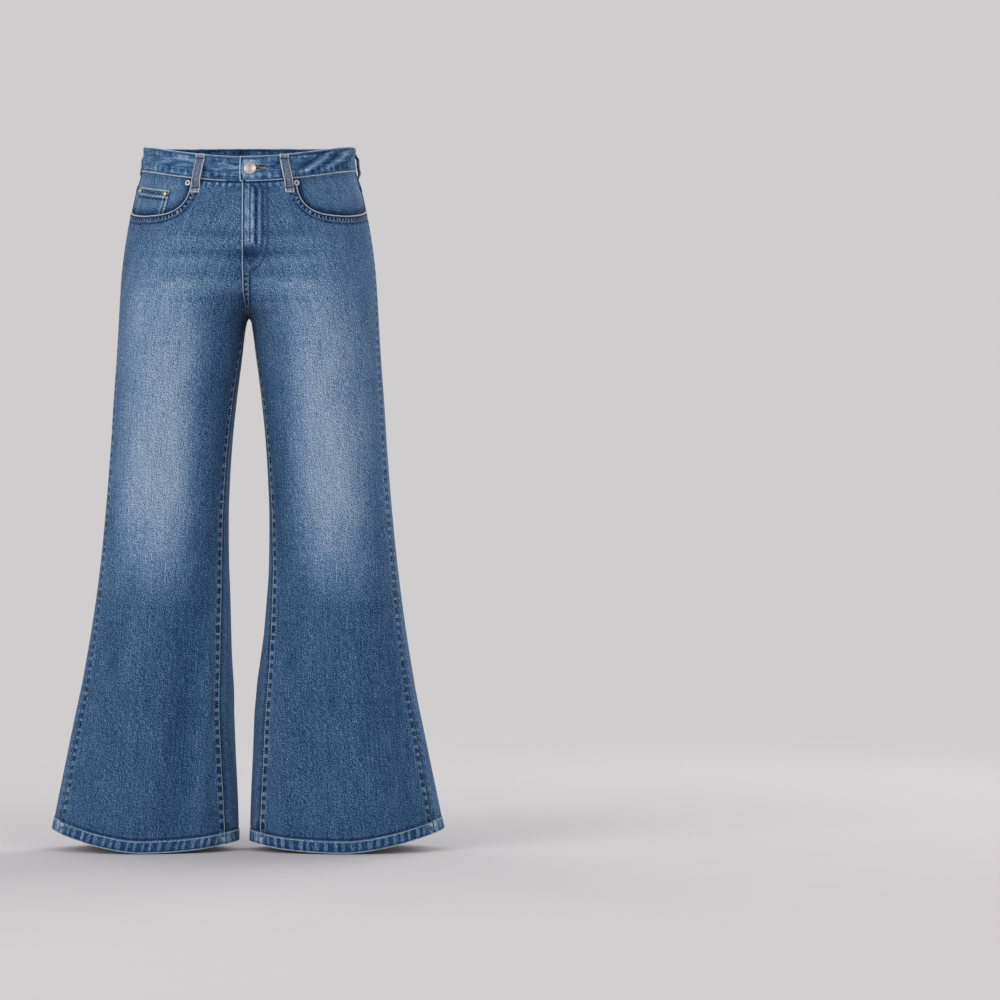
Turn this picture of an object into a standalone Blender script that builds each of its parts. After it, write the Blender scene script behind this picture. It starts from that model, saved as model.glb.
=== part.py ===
"""Wide leg jeans, hollow and filled out as when worn: cloth walls, a waistband, loops and metal trims.

Metres, +Z up. The front faces -Y and the wearer's left is +X. The origin is the centre of the waist,
half way up the waistband at the side. Each cloth piece is a closed wall between two grids of points on
one shared form: rings, one at each height, that are worked out from the table BODY.
"""
import bpy
import numpy as np

# ---- Cloth -----------------------------------------------------------------------------------------
CLOTH = 0.0012           # one layer of denim
SEAM_GAP = 0.0003        # air left between two pieces that are sewn together
LAY_GAP = 0.00070        # air under a piece that lies on a curved, faceted panel
UNDER_GAP = 0.0011       # air between a front panel and the pieces behind it, where it curves most
HEM_HEIGHT = 0.018       # turned-up hem
HEM_PROUD = 0.0005       # how far the hem stands out of the panel, and twice as far inwards
BAND_HEIGHT = 0.036
BAND_PROUD = 0.0008      # waistband's outer face, out of the panels below it
BAND_WALL = 0.0030       # its outer and inner layer with their turnings

# ---- Heights, below or above the origin -------------------------------------------------------------
WAIST_SIDE = 0.0195      # top edge of the waistband at the side, the centre front and the centre back
WAIST_FRONT = -0.003
WAIST_BACK = 0.029
WAIST_BOW_FRONT = 1.6    # exponent of the waist's curve from the side to the centre front and back
WAIST_BOW_BACK = 1.15
CROTCH = -0.225
HEM_MIDDLE = -0.994      # lowest point of the hem, at the middle of the leg
HEM_RISE_OUT = 0.0295    # how much higher it is at the outer and the inner edge of the leg
HEM_RISE_IN = 0.012
HEM_BOW_OUT = 1.5        # exponents of those rises: 1 is straight, more is flatter in the middle
HEM_BOW_IN = 2.2
YOKE_SIDE = -0.041       # lower edge of the yoke at the side seam and at the centre back
YOKE_BACK = -0.063
YOKE_LEVEL = 0.62        # share of the width, from the centre back, over which that edge rises
YOKE_BOW = 1.3           # exponent of its rise

# ---- Crotch curve: the height over which each half turns in, and how sharply -------------------------
CURVE_FRONT = (0.130, 2.1)
CURVE_BACK = (0.150, 2.2)

# ---- The form. Columns: height, reach of the outer edge from the centre, X of the crease line (where the
# cloth lies furthest forward and back), half of the gap between the legs, depth to the front, depth to
# the back, and Y of the ring's middle ------------------------------------------------------------------
BODY = np.array([
    (0.040, 0.1510, 0.0080, 0.0000, 0.1030, 0.1070, 0.000),
    (-0.003, 0.1525, 0.0120, 0.0000, 0.1050, 0.1085, 0.000),
    (-0.055, 0.1653, 0.0300, 0.0000, 0.1080, 0.1135, 0.000),
    (-0.110, 0.1760, 0.0550, 0.0000, 0.1100, 0.1205, 0.000),
    (-0.160, 0.1827, 0.0755, 0.0000, 0.1105, 0.1245, 0.000),
    (-0.195, 0.1853, 0.0870, 0.0000, 0.1090, 0.1235, 0.001),
    (-0.225, 0.1870, 0.0945, 0.0000, 0.1065, 0.1200, 0.001),
    (-0.232, 0.1874, 0.0956, 0.0035, 0.1058, 0.1189, 0.001),
    (-0.250, 0.1884, 0.0980, 0.0066, 0.1038, 0.1160, 0.001),
    (-0.287, 0.1907, 0.1013, 0.0109, 0.0995, 0.1090, 0.001),
    (-0.345, 0.1950, 0.1066, 0.0181, 0.0935, 0.0990, 0.000),
    (-0.403, 0.1987, 0.1113, 0.0239, 0.0880, 0.0895, -0.001),
    (-0.461, 0.2030, 0.1153, 0.0276, 0.0830, 0.0810, -0.002),
    (-0.519, 0.2080, 0.1188, 0.0295, 0.0785, 0.0740, -0.002),
    (-0.577, 0.2139, 0.1215, 0.0290, 0.0750, 0.0697, -0.002),
    (-0.635, 0.2211, 0.1237, 0.0263, 0.0730, 0.0680, -0.001),
    (-0.693, 0.2298, 0.1264, 0.0230, 0.0720, 0.0680, 0.000),
    (-0.751, 0.2400, 0.1298, 0.0196, 0.0718, 0.0697, 0.001),
    (-0.809, 0.2520, 0.1341, 0.0162, 0.0722, 0.0722, 0.002),
    (-0.867, 0.2640, 0.1385, 0.0130, 0.0732, 0.0750, 0.003),
    (-0.925, 0.2758, 0.1428, 0.0098, 0.0745, 0.0778, 0.004),
    (-1.010, 0.2932, 0.1501, 0.0070, 0.0765, 0.0810, 0.005),
])
HEIGHT, REACH, CREASE, GAP, FRONT, BACK, MIDDLE = range(7)

# ---- Side seams. Columns: height, degrees that the outseam and the inseam lie forward of the ring's
# outermost and innermost point -----------------------------------------------------------------------
SEAMS = np.array([
    (0.040, 2.0, 0.0),
    (-0.073, 3.0, 0.0),
    (-0.150, 5.5, 0.0),
    (-0.225, 9.0, 0.0),
    (-0.260, 11.0, 8.0),
    (-0.316, 13.5, 15.0),
    (-0.403, 15.5, 18.5),
    (-0.500, 17.0, 21.0),
    (-0.590, 18.8, 24.3),
    (-0.680, 21.3, 28.5),
    (-0.766, 23.3, 30.6),
    (-0.867, 25.0, 30.0),
    (-1.010, 27.0, 27.5),
])
OUTSEAM, INSEAM = 1, 2

# ---- Front pocket, measured along the cloth from the side seam ---------------------------------------
MOUTH_WIDTH = 0.133      # from the side seam to where the mouth meets the waistband
MOUTH_DEEPEST = 0.072    # where its edge is lowest
MOUTH_DROP = 0.0504      # lowest point, below the waistband at the mouth's inner end
MOUTH_SIDE = -0.073      # its end on the side seam
MOUTH_BOW = 3.2          # exponent of its round corner: 2 is an ellipse
MOUTH_SLOW = 1.6         # exponent of its slow rise to the side seam
FACING_LAP = 0.016       # facing hidden under the front panel
COIN_OUTER, COIN_INNER = 0.031, 0.104
COIN_TOP_OUTER, COIN_TOP_INNER = -0.0400, -0.0500
COIN_LAP = 0.010         # coin pocket hidden under the front panel

# ---- Back pocket. Columns: along the cloth from the side seam, height ---------------------------------
BACK_POCKET = {
    "top inner": (0.2015, -0.0840),
    "top outer": (0.0690, -0.0865),
    "foot inner": (0.2095, -0.2050),
    "point": (0.1555, -0.2230),
    "foot outer": (0.1010, -0.2040),
}

# ---- Fly, from its edge on the centre front towards the wearer's left ---------------------------------
FLY_WIDTH = 0.0385
FLY_STRAIGHT = -0.137    # height where its outer edge starts to curve in
FLY_FOOT = 0.2           # share of its width that is left at its foot
FLY_END = -0.172
ZIP_END = -0.150
ZIP_SIDES = (-0.006, 0.022)
SHIELD_SIDE = -0.008     # the shield's edge on the wearer's right
BAND_OVERLAP = 0.036     # waistband that runs on under the fly, past the centre front
BAND_END = 0.0045        # waistband's upper end, past the centre front
BAND_SINKS = (0.16, 0.01)   # shares of the front's width between which the under end sinks in

# ---- Belt loops: width, wall, rise of the arch, length of each sewn end -------------------------------
LOOP_WIDTH = 0.0126
LOOP_WALL = 0.0018
LOOP_ARCH = 0.0055
LOOP_END = 0.0070
LOOP_SHOULDER = 0.2      # share of the loop's length over which it rises
LOOP_ROWS = (0.22, 0.32, 0.50, 0.68, 0.78)   # shares of its length between the sewn ends
# Columns: name, X at the top, X at the foot, whether it is on the front, height of the foot
LOOPS = (
    ("belt_loop_front_left", 0.0565, 0.0660, True, -0.0545),
    ("belt_loop_front_right", -0.0605, -0.0685, True, -0.0545),
    ("belt_loop_side_left", 0.1487, 0.1565, False, -0.0350),
    ("belt_loop_side_right", -0.1487, -0.1565, False, -0.0350),
    ("belt_loop_back", 0.0, 0.0, False, -0.0240),
)

# ---- Metal -------------------------------------------------------------------------------------------
BUTTON_X = 0.0096        # from the centre front
BUTTON_RADIUS = 0.0092
BUTTON_HOLE = (0.0056, 0.0050)
RIVET_RADIUS = 0.0043
RIVET_LEFT = 0.0750      # from the middle of the front to each side's rivet
RIVET_RIGHT = 0.0790
RIVET_BELOW_BAND = 0.0068
TACK_RADIUS = 0.0027
COIN_RIVET_IN = 0.0052   # from the coin pocket's top edge and from its side
SHANK = 0.20             # radius of the button's shank, as a share of the button's
# Each profile: radius as a share of the piece's radius, height above its seat in metres
BUTTON_PROFILE = ((SHANK, 0.0), (0.80, 0.0), (1.0, 0.0008), (1.0, 0.0018), (0.90, 0.0027),
                  (0.66, 0.0030), (0.60, 0.0022), (0.30, 0.0022), (0.22, 0.0027), (0.0, 0.0029))
RIVET_PROFILE = ((0.0, 0.0), (1.0, 0.0), (1.0, 0.0007), (0.86, 0.0014), (0.50, 0.0016),
                 (0.36, 0.0009), (0.0, 0.0009))
TACK_PROFILE = ((0.0, 0.0), (1.0, 0.0), (1.0, 0.0005), (0.75, 0.0011), (0.0, 0.0014))
BUTTON_SEAT = 0.0004     # air between the waistband and the button's cap

# ---- Grid sizes ---------------------------------------------------------------------------------------
PANEL_ROWS = (-0.034, -0.060, -0.090, -0.120, -0.148, -0.172, -0.192, -0.207, -0.217, -0.2225, -0.225,
              -0.232, -0.246, -0.270, -0.305, -0.350, -0.405, -0.465, -0.530, -0.600, -0.670, -0.740,
              -0.805, -0.865, -0.920)
FLARE_ROW = -6           # the panel row below which the hem's curve begins to tell
PANEL_COLUMNS = 12
MOUTH_COLUMNS = 5
MOUTH_SIDE_COLUMNS = 3
YOKE_ROWS = 3
BAND_FRONT_COLUMNS, BAND_BACK_COLUMNS = 14, 16
FACING_ROWS, COIN_ROWS, COIN_COLUMNS = 6, 4, 7
POCKET_ROWS, POCKET_COLUMNS = 8, 5   # columns on each side of the point
FLY_ROWS, FLY_COLUMNS = 9, 5
BUTTON_STEPS, RIVET_STEPS, TACK_STEPS = 28, 20, 16
ARC_STEPS = 48           # points on each quarter of a ring
FLATTEST = 0.02          # keeps the crotch curve's share above 0 where it has not started
CALM_ABOVE, CALM_BELOW, CALM_POWER = -0.110, -0.345, 6   # between these, columns ignore the crotch curve
NUDGE = 1e-4             # step used to find a surface's slope

MATERIALS = {
    "denim": ((0.105, 0.190, 0.375), 0.90, 0.0),
    "denim_facing": ((0.150, 0.245, 0.425), 0.90, 0.0),
    "zip_tape": ((0.060, 0.075, 0.110), 0.85, 0.0),
    "nickel": ((0.640, 0.610, 0.580), 0.32, 1.0),
    "brass": ((0.700, 0.500, 0.240), 0.34, 1.0),
}


def smooth_column(table, column, height):
    """Smooth curve through one column: cubic between the rows, with slopes that never overshoot."""
    order = np.argsort(table[:, HEIGHT])
    x, v = table[order, HEIGHT], table[order, column]
    rise = np.diff(v) / np.diff(x)
    product = rise[1:] * rise[:-1]
    total = np.where(product > 0, rise[1:] + rise[:-1], 1.0)
    slope = np.concatenate(([rise[0]], np.where(product > 0, 2 * product / total, 0.0), [rise[-1]]))
    height = np.clip(height, x[0], x[-1])
    i = np.clip(np.searchsorted(x, height) - 1, 0, len(x) - 2)
    step = x[i + 1] - x[i]
    t = (height - x[i]) / step
    start = (1 + 2 * t) * (1 - t) ** 2 * v[i] + t * (1 - t) ** 2 * step * slope[i]
    end = t ** 2 * (3 - 2 * t) * v[i + 1] + t ** 2 * (t - 1) * step * slope[i + 1]
    return start + end


def turning_in(height, back):
    """How far the crotch curve has turned in at a height: near 0 above it and 1 at the crotch."""
    drop, power = CURVE_BACK if back else CURVE_FRONT
    return np.clip(1 - (height - CROTCH) / drop, FLATTEST, 1) ** power


def arc(height, back):
    """Points along one panel's arc at one height, from the outseam to the centre or the inseam.

    A quarter of an ellipse runs from the side to the crease line, and another runs on from there. Below
    the crotch the second one closes the leg. Above it, it is drawn out flat towards the centre, where
    it is cut and meets the other half.
    """
    reach, crease, gap, front, rear, middle = (
        smooth_column(BODY, column, height) for column in (REACH, CREASE, GAP, FRONT, BACK, MIDDLE))
    outseam, inseam = (np.radians(smooth_column(SEAMS, column, height)) for column in (OUTSEAM, INSEAM))
    own, other, way = (rear, front, 1) if back else (front, rear, -1)
    if height > CROTCH:
        inwards = turning_in(height, back)
        inner_half, last = crease / inwards, np.pi / 2 + np.arcsin(inwards)
    else:
        inner_half, last = crease - gap, np.pi + way * inseam
    turn = np.concatenate((np.linspace(-way * outseam, np.pi / 2, ARC_STEPS),
                           np.linspace(np.pi / 2, last, ARC_STEPS)[1:]))
    x = crease + np.where(np.cos(turn) > 0, reach - crease, inner_half) * np.cos(turn)
    y = middle + way * np.where(np.sin(turn) > 0, own, other) * np.sin(turn)
    return np.column_stack((x + SEAM_GAP / 2, y))


def arc_run(height, back):
    """The arc's points and the cloth measured along it from the outseam."""
    line = arc(height, back)
    return line, np.concatenate(([0.0], np.cumsum(np.linalg.norm(np.diff(line, axis=0), axis=1))))


def arc_length(height, back):
    """Length of the panel's arc at each height."""
    return np.reshape([arc_run(h, back)[1][-1] for h in np.ravel(height)], np.shape(height))


def on_panel(height, along, back):
    """Points of the form on the wearer's left, along metres of cloth from the side seam."""
    height, along = np.broadcast_arrays(np.asarray(height, float), np.asarray(along, float))
    points = np.empty(height.shape + (3,))
    for place in np.ndindex(height.shape):
        line, run = arc_run(height[place], back)
        at = along[place]
        points[place] = np.interp(at, run, line[:, 0]), np.interp(at, run, line[:, 1]), height[place]
    return points


def facing_out(height, along, back):
    """Unit vectors that point straight out of the form at the same places as on_panel."""
    edge = arc_length(height, back)
    near = np.clip(along - NUDGE, 0, edge - 2 * NUDGE)
    far = np.clip(along + NUDGE, 2 * NUDGE, edge)
    across = on_panel(height, far, back) - on_panel(height, near, back)
    up = on_panel(height + NUDGE, along, back) - on_panel(height - NUDGE, along, back)
    normal = np.cross(up, across) if not back else np.cross(across, up)
    return normal / np.linalg.norm(normal, axis=-1, keepdims=True)


def offset(height, along, back, out):
    """The form's points moved straight out by out metres, or in where it is negative."""
    return on_panel(height, along, back) + facing_out(height, along, back) * np.asarray(out)[..., None]


def panel_along(height, share, back):
    """Metres from the side seam of a panel's columns, share 1 at the outseam and 0 at the other edge.

    Only the columns next to the crotch curve follow its extra cloth: the others run straight down.
    """
    whole = arc_length(height, back) - SEAM_GAP
    high, low = arc_length(CALM_ABOVE, back), arc_length(CALM_BELOW, back)
    t = np.clip((CALM_ABOVE - height) / (CALM_ABOVE - CALM_BELOW), 0, 1)
    between = high + (low - high) * t * t * (3 - 2 * t)
    calm = np.where((t > 0) & (t < 1), between, whole)
    return SEAM_GAP / 2 + (1 - share) * calm + (whole - calm) * (1 - share) ** CALM_POWER


def waist_height(share, back):
    """Top edge of the waistband, share 0 at the centre front or back and 1 at the side."""
    middle, bow = (WAIST_BACK, WAIST_BOW_BACK) if back else (WAIST_FRONT, WAIST_BOW_FRONT)
    return WAIST_SIDE + (middle - WAIST_SIDE) * np.clip(np.cos(share * np.pi / 2), 0, 1) ** bow


def yoke_height(share):
    """Lower edge of the yoke: level at the side, and dropping to the centre back."""
    return YOKE_SIDE + (YOKE_BACK - YOKE_SIDE) * np.clip(1 - share / YOKE_LEVEL, 0, 1) ** YOKE_BOW


def hem_height(share, back):
    """Lower edge of a leg, lowest in the middle of the panel's width and highest at the outseam."""
    reach, gap = (smooth_column(BODY, column, HEM_MIDDLE) for column in (REACH, GAP))
    x = on_panel(HEM_MIDDLE, panel_along(HEM_MIDDLE, share, back), back)[..., 0]
    across = (2 * x - reach - gap) / (reach - gap)
    out, into = np.maximum(across, 0) ** HEM_BOW_OUT, np.maximum(-across, 0) ** HEM_BOW_IN
    return HEM_MIDDLE + HEM_RISE_OUT * out + HEM_RISE_IN * into


def mouth_height(along, width=MOUTH_WIDTH, deeper=0.0):
    """Edge of the front pocket, along metres from the side seam: a round corner, then a slow rise."""
    top = waist_height(1 - width / arc_length(WAIST_SIDE, False), False) - BAND_HEIGHT
    corner = np.clip((along - MOUTH_DEEPEST) / (width - MOUTH_DEEPEST), 0, 1)
    low = top - MOUTH_DROP - deeper
    slow = np.clip(1 - along / MOUTH_DEEPEST, 0, 1) ** MOUTH_SLOW * (MOUTH_SIDE - deeper - low)
    return low + (MOUTH_DROP + deeper) * (1 - (1 - corner ** MOUTH_BOW) ** (1 / MOUTH_BOW)) + slow


def make_object(name, points, faces, material, smooth):
    """One closed mesh as an object, with its material."""
    mesh = bpy.data.meshes.new(name)
    mesh.from_pydata([tuple(p) for p in points], [], faces)
    if material not in bpy.data.materials:
        colour, roughness, metallic = MATERIALS[material]
        finish = bpy.data.materials.new(material)
        finish.use_nodes = True
        shader = finish.node_tree.nodes["Principled BSDF"]
        shader.inputs["Base Color"].default_value = (*colour, 1)
        shader.inputs["Roughness"].default_value = roughness
        shader.inputs["Metallic"].default_value = metallic
        finish.diffuse_color = (*colour, 1)
    mesh.materials.append(bpy.data.materials[material])
    if smooth:
        mesh.shade_smooth()
        mesh.set_sharp_from_angle(angle=np.radians(40))
    item = bpy.data.objects.new(name, mesh)
    bpy.context.scene.collection.objects.link(item)


def cloth_wall(name, outer, inner, material="denim", holes=()):
    """Closed wall between two grids of points, less the cells in holes, each (row, column).

    Each cell is split along its shorter diagonal, so that a piece and its mirror image are alike.
    """
    rows, columns = outer.shape[:2]
    keep = np.ones((rows - 1, columns - 1), bool)
    for hole in holes:
        keep[hole] = False
    number = np.arange(rows * columns).reshape(rows, columns)
    under = rows * columns
    points = np.concatenate((outer.reshape(-1, 3), inner.reshape(-1, 3)))
    faces = []
    for i, j in np.argwhere(keep):
        a, b, c, d = number[i, j], number[i, j + 1], number[i + 1, j + 1], number[i + 1, j]
        if np.linalg.norm(points[a] - points[c]) <= np.linalg.norm(points[b] - points[d]):
            halves = ((a, b, c), (a, c, d))
        else:
            halves = ((a, b, d), (b, c, d))
        faces += halves
        faces += [[corner + under for corner in reversed(half)] for half in halves]
        beside = ((i - 1, j, a, b), (i, j + 1, b, c), (i + 1, j, c, d), (i, j - 1, d, a))
        for row, column, start, end in beside:
            if not (0 <= row < rows - 1 and 0 <= column < columns - 1 and keep[row, column]):
                faces.append([end, start, start + under, end + under])
    across, down = outer[0, 1] - outer[0, 0], outer[1, 0] - outer[0, 0]
    if np.dot(np.cross(across, down), outer[0, 0] - inner[0, 0]) < 0:
        faces = [list(reversed(face)) for face in faces]
    used = np.unique([corner for face in faces for corner in face])
    place = np.zeros(len(points), int)
    place[used] = np.arange(len(used))
    make_object(name, points[used], [place[list(face)].tolist() for face in faces], material, smooth=False)


def mirrored(points):
    """The same points on the wearer's right."""
    return points * np.array((-1.0, 1.0, 1.0))


def both_sides(name, outer, inner, material="denim"):
    """A piece on the wearer's left and its mirror image on the right."""
    cloth_wall(name + "_left", outer, inner, material)
    cloth_wall(name + "_right", mirrored(outer), mirrored(inner), material)


def panel_rows(top, hem):
    """Heights of a leg panel's rows under a top edge, with the hem's own rows at the foot."""
    rows = np.array(PANEL_ROWS)[:, None]
    upper = np.clip((rows - CROTCH) / (rows[0] - CROTCH), 0, 1)
    lower = np.clip((rows - PANEL_ROWS[FLARE_ROW]) / (HEM_MIDDLE - PANEL_ROWS[FLARE_ROW]), 0, 1)
    heights = rows + upper * (top - rows[0]) + lower * (hem - HEM_MIDDLE)
    folds = [hem + HEM_HEIGHT + SEAM_GAP, hem + HEM_HEIGHT, hem]
    return np.vstack([heights] + [fold[None, :] for fold in folds])


def panel_walls(heights):
    """How far the outer and the inner face of a leg panel stand from the form: thicker at the hem."""
    out = np.zeros(heights.shape)
    into = np.full(heights.shape, -CLOTH)
    out[-2:] = HEM_PROUD
    into[-2:] = -CLOTH - 2 * HEM_PROUD
    return out, into


def mouth_middle():
    """Height at which the front pocket's sizes are measured along the cloth."""
    return (WAIST_SIDE + MOUTH_SIDE) / 2


def front_columns():
    """Columns of the front panel at the waist: closer together on the round corner of the pocket."""
    width = arc_length(mouth_middle(), False)
    turn = np.linspace(0, np.pi / 2, MOUTH_COLUMNS)
    corner = MOUTH_WIDTH - (MOUTH_WIDTH - MOUTH_DEEPEST) * (1 - np.cos(turn))
    inner = np.linspace(width, MOUTH_WIDTH, PANEL_COLUMNS - MOUTH_COLUMNS - 1)
    outer = np.linspace(MOUTH_DEEPEST, 0, MOUTH_SIDE_COLUMNS + 1)
    return 1 - np.concatenate((inner, corner[1:], outer[1:])) / width


def front_panels():
    """Front legs, from the waistband to the hem, with the pocket mouth cut from the upper corner."""
    width = arc_length(mouth_middle(), False)
    at_waist = front_columns()
    along = (1 - at_waist) * width
    top = np.where(along >= MOUTH_WIDTH - SEAM_GAP, waist_height(at_waist, False) - BAND_HEIGHT,
                   mouth_height(along))
    even = np.linspace(0, 1, len(at_waist))
    hem = hem_height(even, False)
    heights = panel_rows(top - SEAM_GAP, hem)
    settle = np.clip((heights - CROTCH) / (PANEL_ROWS[0] - CROTCH), 0, 1)
    along = panel_along(heights, even + (at_waist - even) * np.sqrt(settle), False)
    out, into = panel_walls(heights)
    both_sides("front", offset(heights, along, False, out), offset(heights, along, False, into))


def back_panels():
    """Back legs, from the yoke to the hem."""
    even = np.linspace(0, 1, PANEL_COLUMNS + 1)
    heights = panel_rows(yoke_height(even) - SEAM_GAP, hem_height(even, True))
    along = panel_along(heights, even, True)
    out, into = panel_walls(heights)
    both_sides("back", offset(heights, along, True, out), offset(heights, along, True, into))


def yokes():
    """Back yokes, between the waistband and the back legs, deeper at the centre back."""
    even = np.linspace(0, 1, PANEL_COLUMNS + 1)
    top = waist_height(even, True) - BAND_HEIGHT - SEAM_GAP
    heights = top + np.linspace(0, 1, YOKE_ROWS)[:, None] * (yoke_height(even) - top)
    along = panel_along(heights, even, True)
    both_sides("yoke", offset(heights, along, True, 0.0), offset(heights, along, True, -CLOTH))


def waistband():
    """One folded strip round the waist: its left end lies over its right end at the centre front."""
    below_hole = (BAND_HEIGHT - BUTTON_HOLE[1]) / 2
    up = np.array((0.0, below_hole, below_hole + BUTTON_HOLE[1], BAND_HEIGHT))
    front = arc_length(WAIST_FRONT, False)
    hole = np.array((BUTTON_X - BUTTON_HOLE[0] / 2, BUTTON_X + BUTTON_HOLE[0] / 2))
    left = np.concatenate(([-BAND_END], hole, np.linspace(hole[1], front, BAND_FRONT_COLUMNS)[1:])) / front
    far = np.linspace(1, 0, BAND_BACK_COLUMNS)
    right = np.concatenate((np.linspace(1, 0.03, BAND_FRONT_COLUMNS)[1:],
                            np.array((-0.11, -0.33, -0.67, -1.0)) * BAND_OVERLAP / front))
    start, end = BAND_SINKS
    strips = []
    for share, on_back, side in ((left, False, 1), (far[1:], True, 1), (far[::-1][1:], True, -1),
                                 (right, False, -1)):
        inside = np.abs(share)
        height = waist_height(inside, on_back) - BAND_HEIGHT + up[:, None] * np.ones(share.shape)
        along = np.where(inside < 1, panel_along(height, inside, on_back), 0.0)
        ahead = np.clip((start - share) / (start - end), 0, 1) if share is right else 0 * share
        sunk = ahead ** 2 * (3 - 2 * ahead) * (BAND_WALL + SEAM_GAP)
        faces = []
        for out in (BAND_PROUD - sunk, BAND_PROUD - BAND_WALL - sunk):
            spot = offset(height, along, on_back, out)
            spot[..., 0] *= side * np.where(share < 0, -1, 1)
            faces.append(spot)
        strips.append(faces)
    outer, inner = (np.concatenate([strip[k] for strip in strips], axis=1) for k in (0, 1))
    cloth_wall("waistband", outer, inner, holes=((1, 1),))


def pocket_facings():
    """Cloth behind each front pocket's mouth, deeper on the right, where the coin pocket lies on it."""
    width = arc_length(mouth_middle(), False)
    reach = MOUTH_WIDTH + FACING_LAP
    turn = np.linspace(0, np.pi / 2, MOUTH_COLUMNS + 1)
    corner = reach - (reach - MOUTH_DEEPEST) * (1 - np.cos(turn))
    along = np.concatenate((corner, np.linspace(MOUTH_DEEPEST, 0, MOUTH_COLUMNS)[1:]))
    share = 1 - along / width
    top = waist_height(share, False) - BAND_HEIGHT - SEAM_GAP
    low = mouth_height(along, reach, FACING_LAP)
    low[0] = top[0] - FACING_LAP
    heights = top + np.linspace(0, 1, FACING_ROWS)[:, None] * (low - top)
    along = np.maximum(along, SEAM_GAP / 2)
    under_front = CLOTH + UNDER_GAP
    for side, depth in (("left", under_front), ("right", under_front + CLOTH + LAY_GAP)):
        outer, inner = (offset(heights, along, False, -depth - d) for d in (0, CLOTH))
        if side == "right":
            outer, inner = mirrored(outer), mirrored(inner)
        cloth_wall("pocket_facing_" + side, outer, inner, "denim_facing")


def coin_pocket():
    """Small pocket on the right facing, which runs in under the front panel at its foot."""
    along = np.linspace(COIN_INNER, COIN_OUTER, COIN_COLUMNS)
    top = np.interp(along, (COIN_OUTER, COIN_INNER), (COIN_TOP_OUTER, COIN_TOP_INNER))
    low = mouth_height(along) - COIN_LAP
    heights = top + np.linspace(0, 1, COIN_ROWS)[:, None] * (low - top)
    outer = mirrored(offset(heights, along, False, -CLOTH - UNDER_GAP))
    inner = mirrored(offset(heights, along, False, -2 * CLOTH - UNDER_GAP))
    cloth_wall("coin_pocket", outer, inner)


def back_pockets():
    """Patch pockets on the back legs: straight top, sides that draw in, and a pointed foot."""
    top_inner, top_outer, foot_inner, point, foot_outer = (np.array(spot) for spot in BACK_POCKET.values())
    tip = (point[0] - foot_inner[0]) / (foot_outer[0] - foot_inner[0])
    first, second = np.linspace(0, tip, POCKET_COLUMNS + 1), np.linspace(tip, 1, POCKET_COLUMNS + 1)
    across = np.concatenate((first, second[1:]))[:, None]
    top = top_inner + across * (top_outer - top_inner)
    foot = np.where(across <= tip, foot_inner + across / tip * (point - foot_inner),
                    foot_outer + (1 - across) / (1 - tip) * (point - foot_outer))
    spots = top + np.linspace(0, 1, POCKET_ROWS)[:, None, None] * (foot - top)
    along, heights = spots[..., 0], spots[..., 1]
    outer, inner = (offset(heights, along, True, LAY_GAP + d) for d in (CLOTH, 0))
    both_sides("back_pocket", outer, inner)


def front_surface(x, height):
    """Y of the front's outer face at X, the same on both sides of the centre front."""
    reach, crease = smooth_column(BODY, REACH, height), smooth_column(BODY, CREASE, height)
    beyond = np.abs(x) - crease
    across = np.where(beyond > 0, beyond / (reach - crease), beyond / crease * turning_in(height, False))
    return smooth_column(BODY, MIDDLE, height) - smooth_column(BODY, FRONT, height) * np.sqrt(1 - across ** 2)


def fly_layer(name, x_from, x_to, low, depth, wall, material, curved=True):
    """A flat strip behind the fly, from the waistband down, depth metres behind the outer face."""
    top = WAIST_FRONT - BAND_HEIGHT - 2 * SEAM_GAP
    heights = top + np.linspace(0, 1, FLY_ROWS)[:, None] * (low - top)
    turn = np.clip((FLY_STRAIGHT - heights) / (FLY_STRAIGHT - low), 0, 1) if curved else 0 * heights
    width = (FLY_FOOT + (1 - FLY_FOOT) * np.sqrt(1 - turn ** 2)) * (x_to - x_from)
    x = x_from + np.linspace(0, 1, FLY_COLUMNS) * width
    heights = np.broadcast_to(heights, x.shape)
    faces = [np.stack((x, front_surface(x, heights) + depth + d, heights), axis=-1) for d in (0, wall)]
    cloth_wall(name, faces[0], faces[1], material)


def fly():
    """What closes the front: a facing behind the left edge, the zip, and the shield behind it."""
    behind = CLOTH + UNDER_GAP
    fly_layer("fly_facing", SEAM_GAP, FLY_WIDTH, FLY_END, behind, CLOTH, "denim")
    behind += CLOTH + LAY_GAP
    fly_layer("fly_zip", *ZIP_SIDES, ZIP_END, behind, CLOTH, "zip_tape", curved=False)
    behind += CLOTH + LAY_GAP
    fly_layer("fly_shield", SHIELD_SIDE, FLY_WIDTH, FLY_END, behind, 2 * CLOTH, "denim")


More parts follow.
